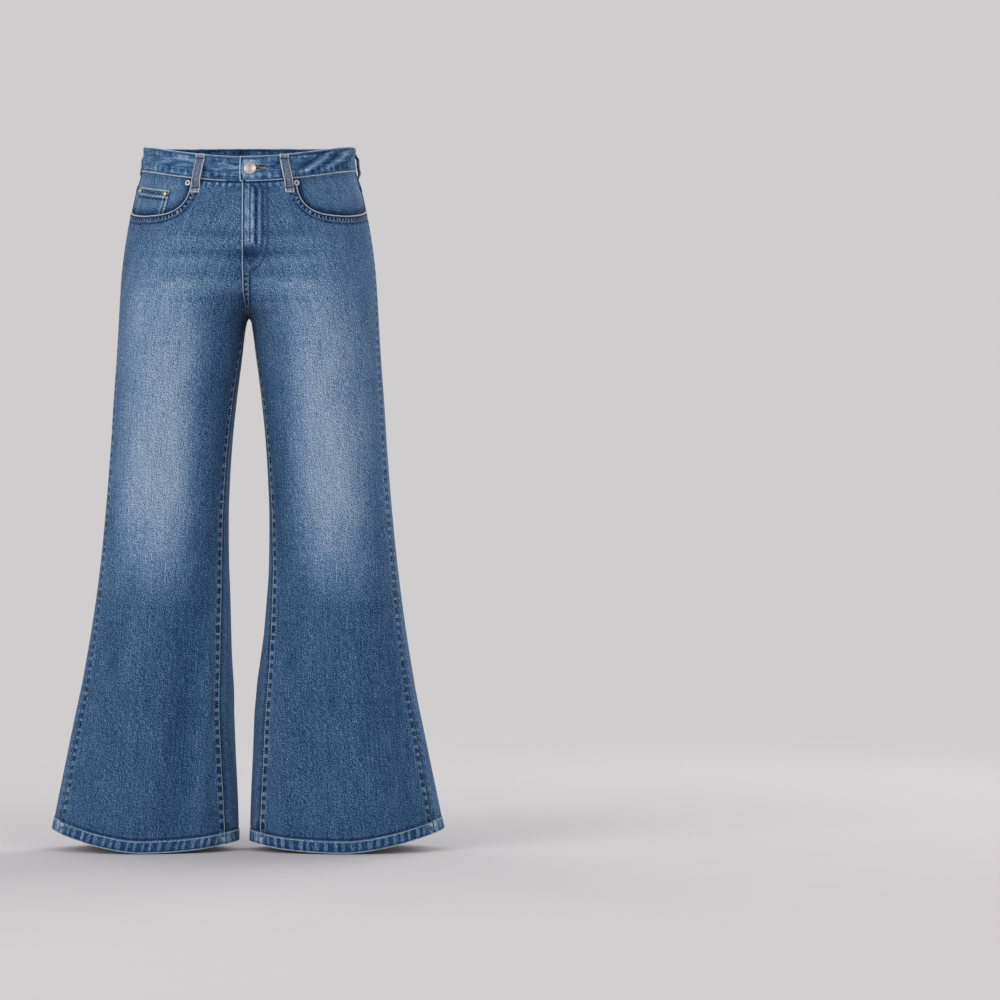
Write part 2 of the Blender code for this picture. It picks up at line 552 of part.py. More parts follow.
def belt_loops():
    """Strips that arch over the waistband, sewn flat at the top and just below it."""
    for name, x_top, x_foot, front, foot in LOOPS:
        side = np.sign(x_top) or 1
        spots = []
        for x, height in ((x_top, (WAIST_SIDE + WAIST_FRONT) / 2), (x_foot, foot)):
            line, run = arc_run(height, not front)
            half = line[:, 1] < 0 if front else line[:, 1] > 0
            order = np.argsort(line[half, 0])
            spots.append(np.interp(abs(x), line[half, 0][order], run[half][order]))
        share = 1 - spots[0] / arc_length(WAIST_SIDE, not front)
        top = waist_height(share, not front) - SEAM_GAP
        length = top - foot
        flat = LOOP_END / length
        down = np.array((0, flat, *LOOP_ROWS, 1 - flat, 1))
        arch = np.clip((down - flat) / LOOP_SHOULDER, 0, 1) * np.clip((1 - flat - down) / LOOP_SHOULDER, 0, 1)
        arch = arch * arch * (3 - 2 * arch)
        along = spots[0] + down * (spots[1] - spots[0])
        heights = top - down * length
        seat = np.where(down < 0.5, BAND_PROUD, 0.0) + SEAM_GAP
        rise = seat + (LOOP_ARCH + BAND_PROUD - seat) * arch
        spot, normal = on_panel(heights, along, not front), facing_out(heights, along, not front)
        across = np.cross(normal, (0, 0, 1))
        across /= np.linalg.norm(across, axis=-1, keepdims=True)
        if x_top == 0:
            spot[:, 0], normal[:, 0], across[:] = 0.0, 0.0, (1.0, 0.0, 0.0)
        edges = np.linspace(-0.5, 0.5, 3)[None, :, None] * LOOP_WIDTH * across[:, None, :]
        faces = []
        for out in (rise + LOOP_WALL, rise):
            grid = (spot + normal * out[:, None])[:, None, :] + edges
            grid[..., 0] *= side
            faces.append(grid)
        cloth_wall(name, faces[0], faces[1])


def turned(name, radius, profile, spot, normal, material, steps):
    """A round metal piece: a profile turned round its axis, which stands on spot along normal."""
    normal = normal / np.linalg.norm(normal)
    across = np.cross((0, 0, 1), normal)
    across /= np.linalg.norm(across)
    up = np.cross(normal, across)
    turn = np.linspace(0, 2 * np.pi, steps, endpoint=False)
    circle = np.cos(turn)[:, None] * across + np.sin(turn)[:, None] * up
    rings = [spot + normal * h + circle * radius * r for r, h in profile[1:-1]]
    points = np.concatenate([[spot + normal * profile[0][1]]] + rings + [[spot + normal * profile[-1][1]]])
    faces = [[0, 1 + (k + 1) % steps, 1 + k] for k in range(steps)]
    for level in range(len(rings) - 1):
        a, b = 1 + level * steps, 1 + (level + 1) * steps
        faces += [[a + k, a + (k + 1) % steps, b + (k + 1) % steps, b + k] for k in range(steps)]
    last, tip = 1 + (len(rings) - 1) * steps, len(points) - 1
    faces += [[last + k, last + (k + 1) % steps, tip] for k in range(steps)]
    make_object(name, points, faces, material, smooth=True)


def on_front(x, height):
    """A spot on the front's outer face at X and height, and the direction straight out of it."""
    spot = np.array((x, front_surface(x, height), height))
    slope_x = (front_surface(x + NUDGE, height) - front_surface(x - NUDGE, height)) / (2 * NUDGE)
    slope_z = (front_surface(x, height + NUDGE) - front_surface(x, height - NUDGE)) / (2 * NUDGE)
    normal = np.array((slope_x, -1.0, slope_z))
    return spot, normal / np.linalg.norm(normal)


def metal():
    """Button through the waistband's buttonhole, rivets at the pocket mouths, tacks on the coin pocket."""
    height = WAIST_FRONT - BAND_HEIGHT / 2
    spot, normal = on_front(BUTTON_X, height)
    cap, foot = BAND_PROUD + SEAM_GAP + BUTTON_SEAT, BAND_PROUD - BAND_WALL
    profile = [(0.0, foot), (SHANK, foot)] + [(radius, cap + rise) for radius, rise in BUTTON_PROFILE]
    turned("button", BUTTON_RADIUS, profile, spot, normal, "nickel", BUTTON_STEPS)
    for x, name in ((RIVET_LEFT, "left"), (-RIVET_RIGHT, "right")):
        share = 1 - MOUTH_WIDTH / arc_length(mouth_middle(), False)
        height = waist_height(share, False) - BAND_HEIGHT - RIVET_BELOW_BAND
        spot, normal = on_front(x, height)
        spot += normal * SEAM_GAP
        turned("rivet_" + name, RIVET_RADIUS, RIVET_PROFILE, spot, normal, "nickel", RIVET_STEPS)
    for along, top, name in ((COIN_INNER - COIN_RIVET_IN, COIN_TOP_INNER, "inner"),
                             (COIN_OUTER + COIN_RIVET_IN, COIN_TOP_OUTER, "outer")):
        height = top - COIN_RIVET_IN
        spot = mirrored(offset(height, along, False, SEAM_GAP - CLOTH - UNDER_GAP))
        normal = mirrored(facing_out(height, along, False))
        turned("coin_rivet_" + name, TACK_RADIUS, TACK_PROFILE, spot, normal, "brass", TACK_STEPS)


def main():
    """Empty the scene, then build every piece."""
    for item in list(bpy.data.objects):
        bpy.data.objects.remove(item)
    front_panels()
    back_panels()
    yokes()
    waistband()
    pocket_facings()
    coin_pocket()
    back_pockets()
    fly()
    belt_loops()
    metal()


main()
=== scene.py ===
# %% [markdown]
# # Wide leg jeans in washed denim
# The jeans are hollow and filled out as when worn. The solid model gives their true shape with plain walls.
# This script gives each sewn piece its finish: fine cloth surfaces with puckered seams, real stitches, worn
# indigo and metal trims. The first cell loads the solid model as a fixed frame and keeps its box.

# %% Load the frame
import bpy
import numpy as np
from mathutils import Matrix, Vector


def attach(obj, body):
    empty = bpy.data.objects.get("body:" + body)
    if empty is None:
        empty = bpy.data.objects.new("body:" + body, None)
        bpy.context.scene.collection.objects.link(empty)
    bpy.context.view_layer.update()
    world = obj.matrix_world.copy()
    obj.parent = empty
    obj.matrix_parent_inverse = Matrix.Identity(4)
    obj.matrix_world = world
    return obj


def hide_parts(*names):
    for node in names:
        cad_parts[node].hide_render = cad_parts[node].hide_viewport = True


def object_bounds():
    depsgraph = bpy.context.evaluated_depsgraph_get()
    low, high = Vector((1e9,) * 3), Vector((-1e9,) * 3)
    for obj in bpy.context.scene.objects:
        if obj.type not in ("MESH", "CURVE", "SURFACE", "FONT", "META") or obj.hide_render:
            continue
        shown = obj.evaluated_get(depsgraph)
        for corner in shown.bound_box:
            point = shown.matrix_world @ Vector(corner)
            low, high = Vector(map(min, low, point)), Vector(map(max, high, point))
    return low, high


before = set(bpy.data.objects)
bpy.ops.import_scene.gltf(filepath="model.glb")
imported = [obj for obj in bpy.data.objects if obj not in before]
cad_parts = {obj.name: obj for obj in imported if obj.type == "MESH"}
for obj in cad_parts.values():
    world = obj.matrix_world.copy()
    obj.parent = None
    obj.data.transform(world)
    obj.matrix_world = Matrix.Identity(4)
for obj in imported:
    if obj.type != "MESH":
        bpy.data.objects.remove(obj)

cad_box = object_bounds()
print("frame:", len(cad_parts), "nodes, box", [round(v, 4) for corner in cad_box for v in corner])

# %% [markdown]
# ## The form under the cloth
# Every cloth piece lies on one form, the same as in the solid model. It could be sculpted, but then no two
# seams would meet. A table of rings, one row for each height, keeps the girths of the waist, hips, knee and
# hem as plain numbers, and all pieces share them.

# %% Rings of the form
HEIGHT, REACH, CREASE, GAP, FRONT, BACK, MIDDLE = range(7)
OUTSEAM, INSEAM = 1, 2
# Columns: height, reach of the outer edge from the centre, X of the crease line, half of the gap between the
# legs, depth to the front, depth to the back, Y of the ring's middle
BODY = np.array([
    (0.040, 0.1510, 0.0080, 0.0000, 0.1030, 0.1070, 0.000),
    (-0.003, 0.1525, 0.0120, 0.0000, 0.1050, 0.1085, 0.000),
    (-0.055, 0.1653, 0.0300, 0.0000, 0.1080, 0.1135, 0.000),
    (-0.110, 0.1760, 0.0550, 0.0000, 0.1100, 0.1205, 0.000),
    (-0.160, 0.1827, 0.0755, 0.0000, 0.1105, 0.1245, 0.000),
    (-0.195, 0.1853, 0.0870, 0.0000, 0.1090, 0.1235, 0.001),
    (-0.225, 0.1870, 0.0945, 0.0000, 0.1065, 0.1200, 0.001),
    (-0.232, 0.1874, 0.0956, 0.0035, 0.1058, 0.1189, 0.001),
    (-0.250, 0.1884, 0.0980, 0.0066, 0.1038, 0.1160, 0.001),
    (-0.287, 0.1907, 0.1013, 0.0109, 0.0995, 0.1090, 0.001),
    (-0.345, 0.1950, 0.1066, 0.0181, 0.0935, 0.0990, 0.000),
    (-0.403, 0.1987, 0.1113, 0.0239, 0.0880, 0.0895, -0.001),
    (-0.461, 0.2030, 0.1153, 0.0276, 0.0830, 0.0810, -0.002),
    (-0.519, 0.2080, 0.1188, 0.0295, 0.0785, 0.0740, -0.002),
    (-0.577, 0.2139, 0.1215, 0.0290, 0.0750, 0.0697, -0.002),
    (-0.635, 0.2211, 0.1237, 0.0263, 0.0730, 0.0680, -0.001),
    (-0.693, 0.2298, 0.1264, 0.0230, 0.0720, 0.0680, 0.000),
    (-0.751, 0.2400, 0.1298, 0.0196, 0.0718, 0.0697, 0.001),
    (-0.809, 0.2520, 0.1341, 0.0162, 0.0722, 0.0722, 0.002),
    (-0.867, 0.2640, 0.1385, 0.0130, 0.0732, 0.0750, 0.003),
    (-0.925, 0.2758, 0.1428, 0.0098, 0.0745, 0.0778, 0.004),
    (-1.010, 0.2932, 0.1501, 0.0070, 0.0765, 0.0810, 0.005),
])
# Columns: height, degrees that the outseam and the inseam lie forward of the ring's ends
SEAMS = np.array([
    (0.040, 2.0, 0.0), (-0.073, 3.0, 0.0), (-0.150, 5.5, 0.0), (-0.225, 9.0, 0.0),
    (-0.260, 11.0, 8.0), (-0.316, 13.5, 15.0), (-0.403, 15.5, 18.5), (-0.500, 17.0, 21.0),
    (-0.590, 18.8, 24.3), (-0.680, 21.3, 28.5), (-0.766, 23.3, 30.6), (-0.867, 25.0, 30.0),
    (-1.010, 27.0, 27.5),
])
CROTCH = -0.225
CURVE_FRONT = (0.130, 2.1)  # height over which the crotch curve turns in, and how sharply
CURVE_BACK = (0.150, 2.2)


def smooth_column(table, column, height):
    """Cubic curve through one column, with slopes that never overshoot (harmonic mean of both sides)."""
    order = np.argsort(table[:, HEIGHT])
    x, v = table[order, HEIGHT], table[order, column]
    rise = np.diff(v) / np.diff(x)
    product = rise[1:] * rise[:-1]
    total = np.where(product > 0, rise[1:] + rise[:-1], 1.0)
    slope = np.concatenate(([rise[0]], np.where(product > 0, 2 * product / total, 0.0), [rise[-1]]))
    height = np.clip(height, x[0], x[-1])
    i = np.clip(np.searchsorted(x, height) - 1, 0, len(x) - 2)
    step = x[i + 1] - x[i]
    t = (height - x[i]) / step
    start = (1 + 2 * t) * (1 - t) ** 2 * v[i] + t * (1 - t) ** 2 * step * slope[i]
    end = t ** 2 * (3 - 2 * t) * v[i + 1] + t ** 2 * (t - 1) * step * slope[i + 1]
    return start + end


def ring(height, sweep, back):
    """Point of the form: two quarter ellipses that meet at the crease line.

    x = crease + half width * cos(angle), y = middle + depth * sin(angle). The angle runs from the outseam to
    a right angle while sweep goes from 0 to 1, and on to the centre or the inseam while it goes to 2.
    """
    reach, crease, gap, front, rear, middle = (
        smooth_column(BODY, column, height) for column in (REACH, CREASE, GAP, FRONT, BACK, MIDDLE))
    outseam, inseam = (np.radians(smooth_column(SEAMS, column, height)) for column in (OUTSEAM, INSEAM))
    own, other, way = (rear, front, 1) if back else (front, rear, -1)
    drop, power = CURVE_BACK if back else CURVE_FRONT
    inwards = np.clip(1 - (height - CROTCH) / drop, 0.02, 1) ** power
    above = height > CROTCH
    inner_half = np.where(above, crease / inwards, crease - gap)
    last = np.where(above, np.pi / 2 + np.arcsin(inwards), np.pi + way * inseam)
    first = -way * outseam
    right = np.pi / 2
    turn = np.where(sweep < 1, first + sweep * (right - first), right + (sweep - 1) * (last - right))
    x = crease + np.where(np.cos(turn) > 0, reach - crease, inner_half) * np.cos(turn)
    y = middle + way * np.where(np.sin(turn) > 0, own, other) * np.sin(turn)
    return x, y


# %% [markdown]
# ## Measuring along the cloth
# A maker measures along the cloth, not through the air. So each ring is walked once and the walk is kept in
# a table: it turns "so many metres from the side seam" into a place on the ring. All pockets, seams and
# stitches below are placed by that measure.

# %% Walking round each ring
RING_STEP = 0.003  # metres from ring to ring; they crowd at the crotch, where the form turns fastest
RINGS = np.unique(np.concatenate((np.arange(-1.012, 0.043, RING_STEP), CROTCH + 8e-6 * np.arange(61) ** 2)))
SHARES = np.linspace(0, 1, 161)
SWEEPS = np.linspace(0, 2, 321)
WALK = {}


def run_along(line):
    """Distance run along a line of points, or along each row of a grid, from the first one."""
    steps = np.linalg.norm(np.diff(line, axis=-2), axis=-1)
    return np.concatenate((np.zeros(steps.shape[:-1] + (1,)), np.cumsum(steps, axis=-1)), axis=-1)


for back in (False, True):
    points = np.stack(ring(RINGS[:, None], SWEEPS, back), axis=-1)
    run = run_along(points)
    to_crease = smooth_column(BODY, CREASE, RINGS)[:, None] - points[..., 0]
    WALK[back] = {"girth": run[:, -1],
                  "crease": np.array([np.interp(0, x, row) for x, row in zip(to_crease, run)]),
                  "sweep": np.array([np.interp(SHARES * row[-1], row, SWEEPS) for row in run])}


def girth(height, back):
    """Cloth from the outseam to the centre or the inseam on one ring."""
    return np.interp(height, RINGS, WALK[back]["girth"])


def crease_at(height, back):
    """Cloth from the outseam to the crease line, down which the weave runs straight."""
    return np.interp(height, RINGS, WALK[back]["crease"])


def on_form(height, along, back):
    """Point reached by walking `along` metres of cloth from the outseam, on the ring at that height."""
    height, along = np.broadcast_arrays(np.asarray(height, float), np.asarray(along, float))
    row = np.interp(height, RINGS, np.arange(len(RINGS)))
    i = np.minimum(row.astype(int), len(RINGS) - 2)
    f = row - i
    at = along / girth(height, back) * (len(SHARES) - 1)
    j = np.clip(np.floor(at).astype(int), 0, len(SHARES) - 2)
    g = at - j
    table = WALK[back]["sweep"]
    sweep = (1 - f) * ((1 - g) * table[i, j] + g * table[i, j + 1])
    sweep += f * ((1 - g) * table[i + 1, j] + g * table[i + 1, j + 1])
    x, y = ring(height, sweep, back)
    return np.stack((x, y, height), axis=-1)


print("girths: waist %.3f, hip %.3f, thigh %.3f, knee %.3f, hem %.3f m" % tuple(
    times * (girth(z, False) + girth(z, True)) for z, times in
    ((-0.02, 2), (-0.18, 2), (-0.30, 1), (-0.60, 1), (-0.99, 1))))

# %% [markdown]
# ## Standing out of the form
# Each piece stands a little out of the form, by its layer and by its puckers. Moving points along the form's
# normal keeps the layers the same distance apart on every slope. Low down, both legs swing a little to the
# wearer's right, which is added last, so that it moves every layer alike.

# %% Curves and normals
# How far the hems swing, from which height down, and over what drop
SWAY_FAR, SWAY_BEGINS, SWAY_DROP = 0.0072, -0.60, 0.20
# The swing is full up to this X, fades over this width, and leaves this share at the outseams
SWAY_HALF, SWAY_FADE, SWAY_OUTSIDE = 0.029, 0.13, 0.2


def ease(t):
    """Smooth step from 0 to 1: 3t^2 - 2t^3, level at both ends."""
    t = np.clip(t, 0, 1)
    return t * t * (3 - 2 * t)


def bump(d, width):
    """Bell curve, 1 at d = 0: exp(-(d / width)^2)."""
    return np.exp(-(d / width) ** 2)


def ridges(d, rows):
    """Sum of bell curves across an edge, d away from it. Rows: strength, metres from the edge, half width."""
    return sum(strength * bump(d - place, half) for strength, place, half in rows)


def unit(vector):
    """The same direction with length 1."""
    return vector / np.maximum(np.linalg.norm(vector, axis=-1, keepdims=True), 1e-12)


def mirrored(side):
    """Factors that mirror a point of the wearer's left to the right for side -1."""
    return np.array((side, 1.0, 1.0))


def outward(height, along, back):
    """Unit normal of the form: cross product of its two small steps, round the ring and upwards."""
    step = 0.0004
    across = on_form(height, along + step, back) - on_form(height, along - step, back)
    up = on_form(height + step, along, back) - on_form(height - step, along, back)
    return unit(np.cross(across, up) if back else np.cross(up, across))


def skin(height, along, back, out, side=1):
    """Point of the form moved out along its normal, on the wearer's left, or mirrored to the right.

    The swing grows downwards as a power of the height. It is full between the legs, and fades to a share of
    that at the outer seams.
    """
    spot = on_form(height, along, back) + outward(height, along, back) * np.asarray(out)[..., None]
    spot = spot * mirrored(side)
    swing = SWAY_FAR * np.clip((SWAY_BEGINS - spot[..., 2]) / SWAY_DROP, 0, 1) ** 1.3
    inside = bump(np.maximum(np.abs(spot[..., 0]) - SWAY_HALF, 0), SWAY_FADE)
    spot[..., 0] -= swing * (SWAY_OUTSIDE + (1 - SWAY_OUTSIDE) * inside)
    return spot


lowest = skin(-0.99, girth(-0.99, False) / 2, False, 0.0)
print("the left front's hem swings %.4f m" % (lowest - on_form(-0.99, girth(-0.99, False) / 2, False))[0])

# %% [markdown]
# ## Edges of the pieces
# The same sizes as in the solid model say where the waistband, the yoke, the pocket mouth and the hem run.

# %% Where the edges run
BAND_HEIGHT = 0.036
WAIST_SIDE, WAIST_FRONT, WAIST_BACK = 0.0195, -0.003, 0.029
WAIST_BOW_FRONT, WAIST_BOW_BACK = 1.6, 1.15  # exponents of the waist's curve
YOKE_SIDE, YOKE_BACK, YOKE_LEVEL, YOKE_BOW = -0.041, -0.063, 0.62, 1.3
HEM_MIDDLE, HEM_RISE_OUT, HEM_RISE_IN, HEM_BOW_OUT, HEM_BOW_IN = -0.994, 0.0295, 0.012, 1.5, 2.2
HEM_HEIGHT = 0.018
MOUTH_WIDTH, MOUTH_DEEPEST, MOUTH_DROP, MOUTH_SIDE = 0.133, 0.072, 0.0504, -0.073
MOUTH_BOW, MOUTH_SLOW = 3.2, 1.6
CALM_ABOVE, CALM_BELOW, CALM_POWER = -0.110, -0.345, 6  # where the columns don't follow the crotch curve
FRONT_WIDTH = girth((WAIST_SIDE + MOUTH_SIDE) / 2, False)


def waist_height(share, back):
    """Top edge of the waistband, share 0 at the centre and 1 at the side."""
    middle, bow = (WAIST_BACK, WAIST_BOW_BACK) if back else (WAIST_FRONT, WAIST_BOW_FRONT)
    return WAIST_SIDE + (middle - WAIST_SIDE) * np.clip(np.cos(share * np.pi / 2), 0, 1) ** bow


def front_top(along):
    """Lower edge of the waistband in front, by metres from the side seam."""
    return waist_height(1 - along / FRONT_WIDTH, False) - BAND_HEIGHT


def yoke_height(share):
    """Lower edge of the yoke: level at the side, and dropping to the centre back."""
    return YOKE_SIDE + (YOKE_BACK - YOKE_SIDE) * np.clip(1 - share / YOKE_LEVEL, 0, 1) ** YOKE_BOW


def panel_along(height, share, back):
    """Metres from the side seam of a panel's columns. Only those next to the crotch curve follow it."""
    whole = girth(height, back)
    high, low = girth(CALM_ABOVE, back), girth(CALM_BELOW, back)
    t = (CALM_ABOVE - height) / (CALM_ABOVE - CALM_BELOW)
    calm = np.where((t > 0) & (t < 1), high + (low - high) * ease(t), whole)
    return (1 - share) * calm + (whole - calm) * (1 - share) ** CALM_POWER


def hem_height(share, back):
    """Lower edge of a leg: lowest in the middle, and rising with a power of the way to either side."""
    reach, gap = (smooth_column(BODY, column, HEM_MIDDLE) for column in (REACH, GAP))
    x = on_form(HEM_MIDDLE, panel_along(HEM_MIDDLE, share, back), back)[..., 0]
    across = (2 * x - reach - gap) / (reach - gap)
    out, into = np.maximum(across, 0) ** HEM_BOW_OUT, np.maximum(-across, 0) ** HEM_BOW_IN
    return HEM_MIDDLE + HEM_RISE_OUT * out + HEM_RISE_IN * into


def mouth_height(along, width=MOUTH_WIDTH, deeper=0.0):
    """Edge of the front pocket: a superellipse corner, then a slow rise to the side seam."""
    top = waist_height(1 - width / girth(WAIST_SIDE, False), False) - BAND_HEIGHT
    corner = np.clip((along - MOUTH_DEEPEST) / (width - MOUTH_DEEPEST), 0, 1)
    low = top - MOUTH_DROP - deeper
    slow = np.clip(1 - along / MOUTH_DEEPEST, 0, 1) ** MOUTH_SLOW * (MOUTH_SIDE - deeper - low)
    return low + (MOUTH_DROP + deeper) * (1 - (1 - corner ** MOUTH_BOW) ** (1 / MOUTH_BOW)) + slow


corner = MOUTH_WIDTH - (MOUTH_WIDTH - MOUTH_DEEPEST) * (1 - np.cos(np.linspace(0, np.pi / 2, 60)))
along = np.concatenate((corner, np.linspace(MOUTH_DEEPEST, 0, 60)[1:]))
MOUTH_CURVE = np.column_stack((along, mouth_height(along)))  # from the waistband down to the side seam
print("pocket mouth: %.3f m along its edge" % run_along(MOUTH_CURVE)[-1])

# %% [markdown]
# ## Making a wall of cloth
# A sheet of cloth could be a flat grid with a Solidify modifier. Here both faces are written out, because a
# folded hem or a felled seam is thicker than the rest and its inside shows a paler cloth. One function joins
# the outer and the inner grid round the rim, and stores what the material reads: a UV map in metres, and four
# marks for each point: its wash, its tone, and the phase and pull of its puckers. The wash and the tone also
# hold painted shade and painted shadows.

# %% Grids into meshes
OUTER_FACE, INNER_FACE = 0, 1  # material slots of a wall
# wash and tone also hold painted shade and painted shadows
MARKS = ("wash", "tone", "phase", "pull")
finishes = {}


def to_object(name, points, faces, materials, slots=None, sharp=50, uv=None, marks=None):
    """A mesh object, smooth except where its faces meet at more than `sharp` degrees."""
    mesh = bpy.data.meshes.new(name)
    mesh.from_pydata(points.tolist(), [], faces)
    for label, values in (marks or {}).items():
        attribute = mesh.attributes.new(label, "FLOAT", "POINT")
        attribute.data.foreach_set("value", values.astype(np.float32).ravel())
    if uv is not None:
        corner = np.empty(len(mesh.loops), np.int32)
        mesh.loops.foreach_get("vertex_index", corner)
        mesh.uv_layers.new(name="cloth").uv.foreach_set("vector", uv[corner].astype(np.float32).ravel())
    for material in materials:
        mesh.materials.append(finishes[material])
    if slots is not None:
        mesh.polygons.foreach_set("material_index", np.array(slots, np.int32))
    mesh.shade_smooth()
    mesh.set_sharp_from_angle(angle=np.radians(sharp))
    item = bpy.data.objects.new(name, mesh)
    bpy.context.scene.collection.objects.link(item)
    return item


def wall(name, outer, inner, uv, marks, materials=("denim", "denim_inside"), turned_up=None, behind=0.0):
    """Closed wall: the outer grid's faces, the inner grid's turned round, and a strip that joins their rims.

    Marks are the numbers the material reads, in the order of MARKS. Where turned_up is true the inside shows
    the outer face of the cloth, as a turned hem does. Behind is added to the tone of the inner grid.
    """
    rows, columns = outer.shape[:2]
    count = rows * columns
    index = np.arange(count).reshape(rows, columns)
    quads = np.stack((index[:-1, :-1], index[:-1, 1:], index[1:, 1:], index[1:, :-1]), -1).reshape(-1, 4)
    edge = np.concatenate((index[0, :], index[1:, -1], index[-1, -2::-1], index[-2:0:-1, 0]))
    after = np.roll(edge, -1)
    rim = np.stack((after, edge, edge + count, after + count), -1)
    faces = np.concatenate((quads, quads[:, ::-1] + count, rim))
    points = np.concatenate((outer.reshape(-1, 3), inner.reshape(-1, 3)))
    a, b, d = (points[quads[:, k]] for k in (0, 1, 3))
    if np.sum(np.cross(b - a, d - a) * (a - points[quads[:, 0] + count])) < 0:
        faces = faces[:, ::-1]
    slots = np.full(len(faces), OUTER_FACE)
    if len(materials) > 1:
        shown = np.zeros((rows, columns), bool) if turned_up is None else turned_up
        slots[len(quads):2 * len(quads)] = np.where(shown[:-1, :-1].ravel(), OUTER_FACE, INNER_FACE)
    marks = {label: np.tile(np.broadcast_to(value, (rows, columns)).ravel().astype(float), 2)
             for label, value in zip(MARKS, marks)}
    marks["tone"][count:] += behind
    uv = np.tile(uv.reshape(-1, 2), (2, 1))
    return to_object(name, points, faces.tolist(), materials, slots, uv=uv, marks=marks)


# %% Spacing of a grid, and distances to a line
def spread(length, fine, coarse, reach, first=True, last=True, wide=0.0):
    """Shares from 0 to 1 of a length: steps grow from fine at its ends to coarse, `reach` away from them.

    Near the first end they stay fine over the distance `wide`.
    """
    x = np.linspace(0, length, 4001)
    near = np.minimum(np.maximum(x - wide, 0) if first else length, length - x if last else length)
    gap = fine + (coarse - fine) * ease(near / reach)
    count = np.concatenate(([0.0], np.cumsum(np.diff(x) * 2 / (gap[1:] + gap[:-1]))))
    return np.interp(np.linspace(0, count[-1], int(np.ceil(count[-1])) + 1), count, x) / length


def to_line(u, v, line):
    """Distance from each (u, v) to a polyline, and how far along it the nearest point lies."""
    start, step = line[:-1], np.diff(line, axis=0)
    size = np.linalg.norm(step, axis=1)
    from_start = np.stack((u, v), -1)[..., None, :] - start
    t = np.clip(np.sum(from_start * step, -1) / size ** 2, 0, 1)
    away = np.linalg.norm(from_start - t[..., None] * step, axis=-1)
    nearest = np.argmin(away, -1)
    picked = np.take_along_axis(t, nearest[..., None], -1)[..., 0]
    return (np.take_along_axis(away, nearest[..., None], -1)[..., 0],
            run_along(line)[nearest] + picked * size[nearest])


even = spread(0.25, 0.001, 0.004, 0.02)
print("a grid 0.25 m wide: %d columns, the first one %.1f mm wide" % (len(even) - 1, 250 * even[1]))

# %% [markdown]
# ## Puckers and creases
# Thread that is tighter than the cloth pulls a seam into small puckers. Washing then rubs the ridges pale and
# leaves the valleys dark. So each pucker is both a height and a tone, from one uneven wave. The large creases
# are soft troughs and ridges, listed in a table.

# %% Waves along a seam
def ripple(run, pitch, seed):
    """Uneven wave along a seam: a sine whose phase and size drift with three slower sines."""
    a, b, c = np.random.default_rng(seed).uniform(0, 6.28, 3)
    turn = 2 * np.pi * run / pitch
    drift = 0.9 * np.sin(turn / 4.3 + a) + 0.6 * np.sin(turn / 2.7 + b)
    return np.sin(turn + drift) * (0.72 + 0.28 * np.sin(turn / 6.1 + c))


def puckers(*seams):
    """Phase and pull of the nearest seam at each place.

    A seam is: distance from it, run along it, pitch of its puckers, strength, and the distances between which
    the cloth puckers. Phase counts puckers along the seam, and pull says how strongly they show.
    """
    parts = [(d, run / pitch, strength * ease((d - start) / 0.0012) * ease((end - d) / 0.0022))
             for d, run, pitch, strength, start, end in seams]
    away, phase, pull = (np.stack(np.broadcast_arrays(*group)) for group in
                         zip(*[np.broadcast_arrays(*part) for part in parts]))
    nearest = np.argmin(np.abs(away), axis=0)[None]
    return np.take_along_axis(phase, nearest, 0)[0], np.take_along_axis(pull, nearest, 0)[0]


def folds(u, v, table):
    """Sum of soft creases. Each row: start (u, v), end (u, v), bow, half width, height out of the cloth.

    A crease is a bell curve across its line, and its ends die away over a quarter of its length.
    """
    total = np.zeros(np.broadcast(u, v).shape)
    for u0, v0, u1, v1, bow, half, high in table:
        du, dv = u1 - u0, v1 - v0
        long = np.hypot(du, dv)
        t = ((u - u0) * du + (v - v0) * dv) / long ** 2
        away = ((u - u0) * dv - (v - v0) * du) / long - bow * 4 * t * (1 - t)
        total += high * bump(away, half) * ease(t / 0.25) * ease((1 - t) / 0.25)
    return total


print("a pucker's wave runs from %.2f to %.2f" % tuple(
    f(ripple(np.linspace(0, 1, 9999), 0.012, 1)) for f in (np.min, np.max)))

# %% Creases of the legs
# Columns as in folds(). u is metres from the crease line towards the inseam, v is the height.
FRONT_FOLDS = {1: (
    (0.028, -0.60, 0.052, -1.02, 0.004, 0.018, -0.0042),
    (-0.030, -0.66, -0.044, -1.02, -0.003, 0.021, 0.003),
    (-0.085, -0.70, -0.100, -1.02, 0.004, 0.016, -0.0034),
    (0.074, -0.70, 0.098, -1.02, 0.002, 0.015, 0.0032),
    (-0.060, -0.44, 0.040, -0.53, 0.006, 0.020, -0.0012),
), -1: (
    (0.034, -0.58, 0.044, -1.02, -0.004, 0.020, -0.0058),
    (-0.022, -0.62, -0.020, -1.02, 0.003, 0.022, 0.0034),
    (-0.088, -0.72, -0.094, -1.02, 0.003, 0.017, -0.0028),
    (0.080, -0.66, 0.094, -1.02, 0.002, 0.014, 0.0036),
    (-0.050, -0.47, 0.042, -0.54, 0.005, 0.018, -0.0011),
)}
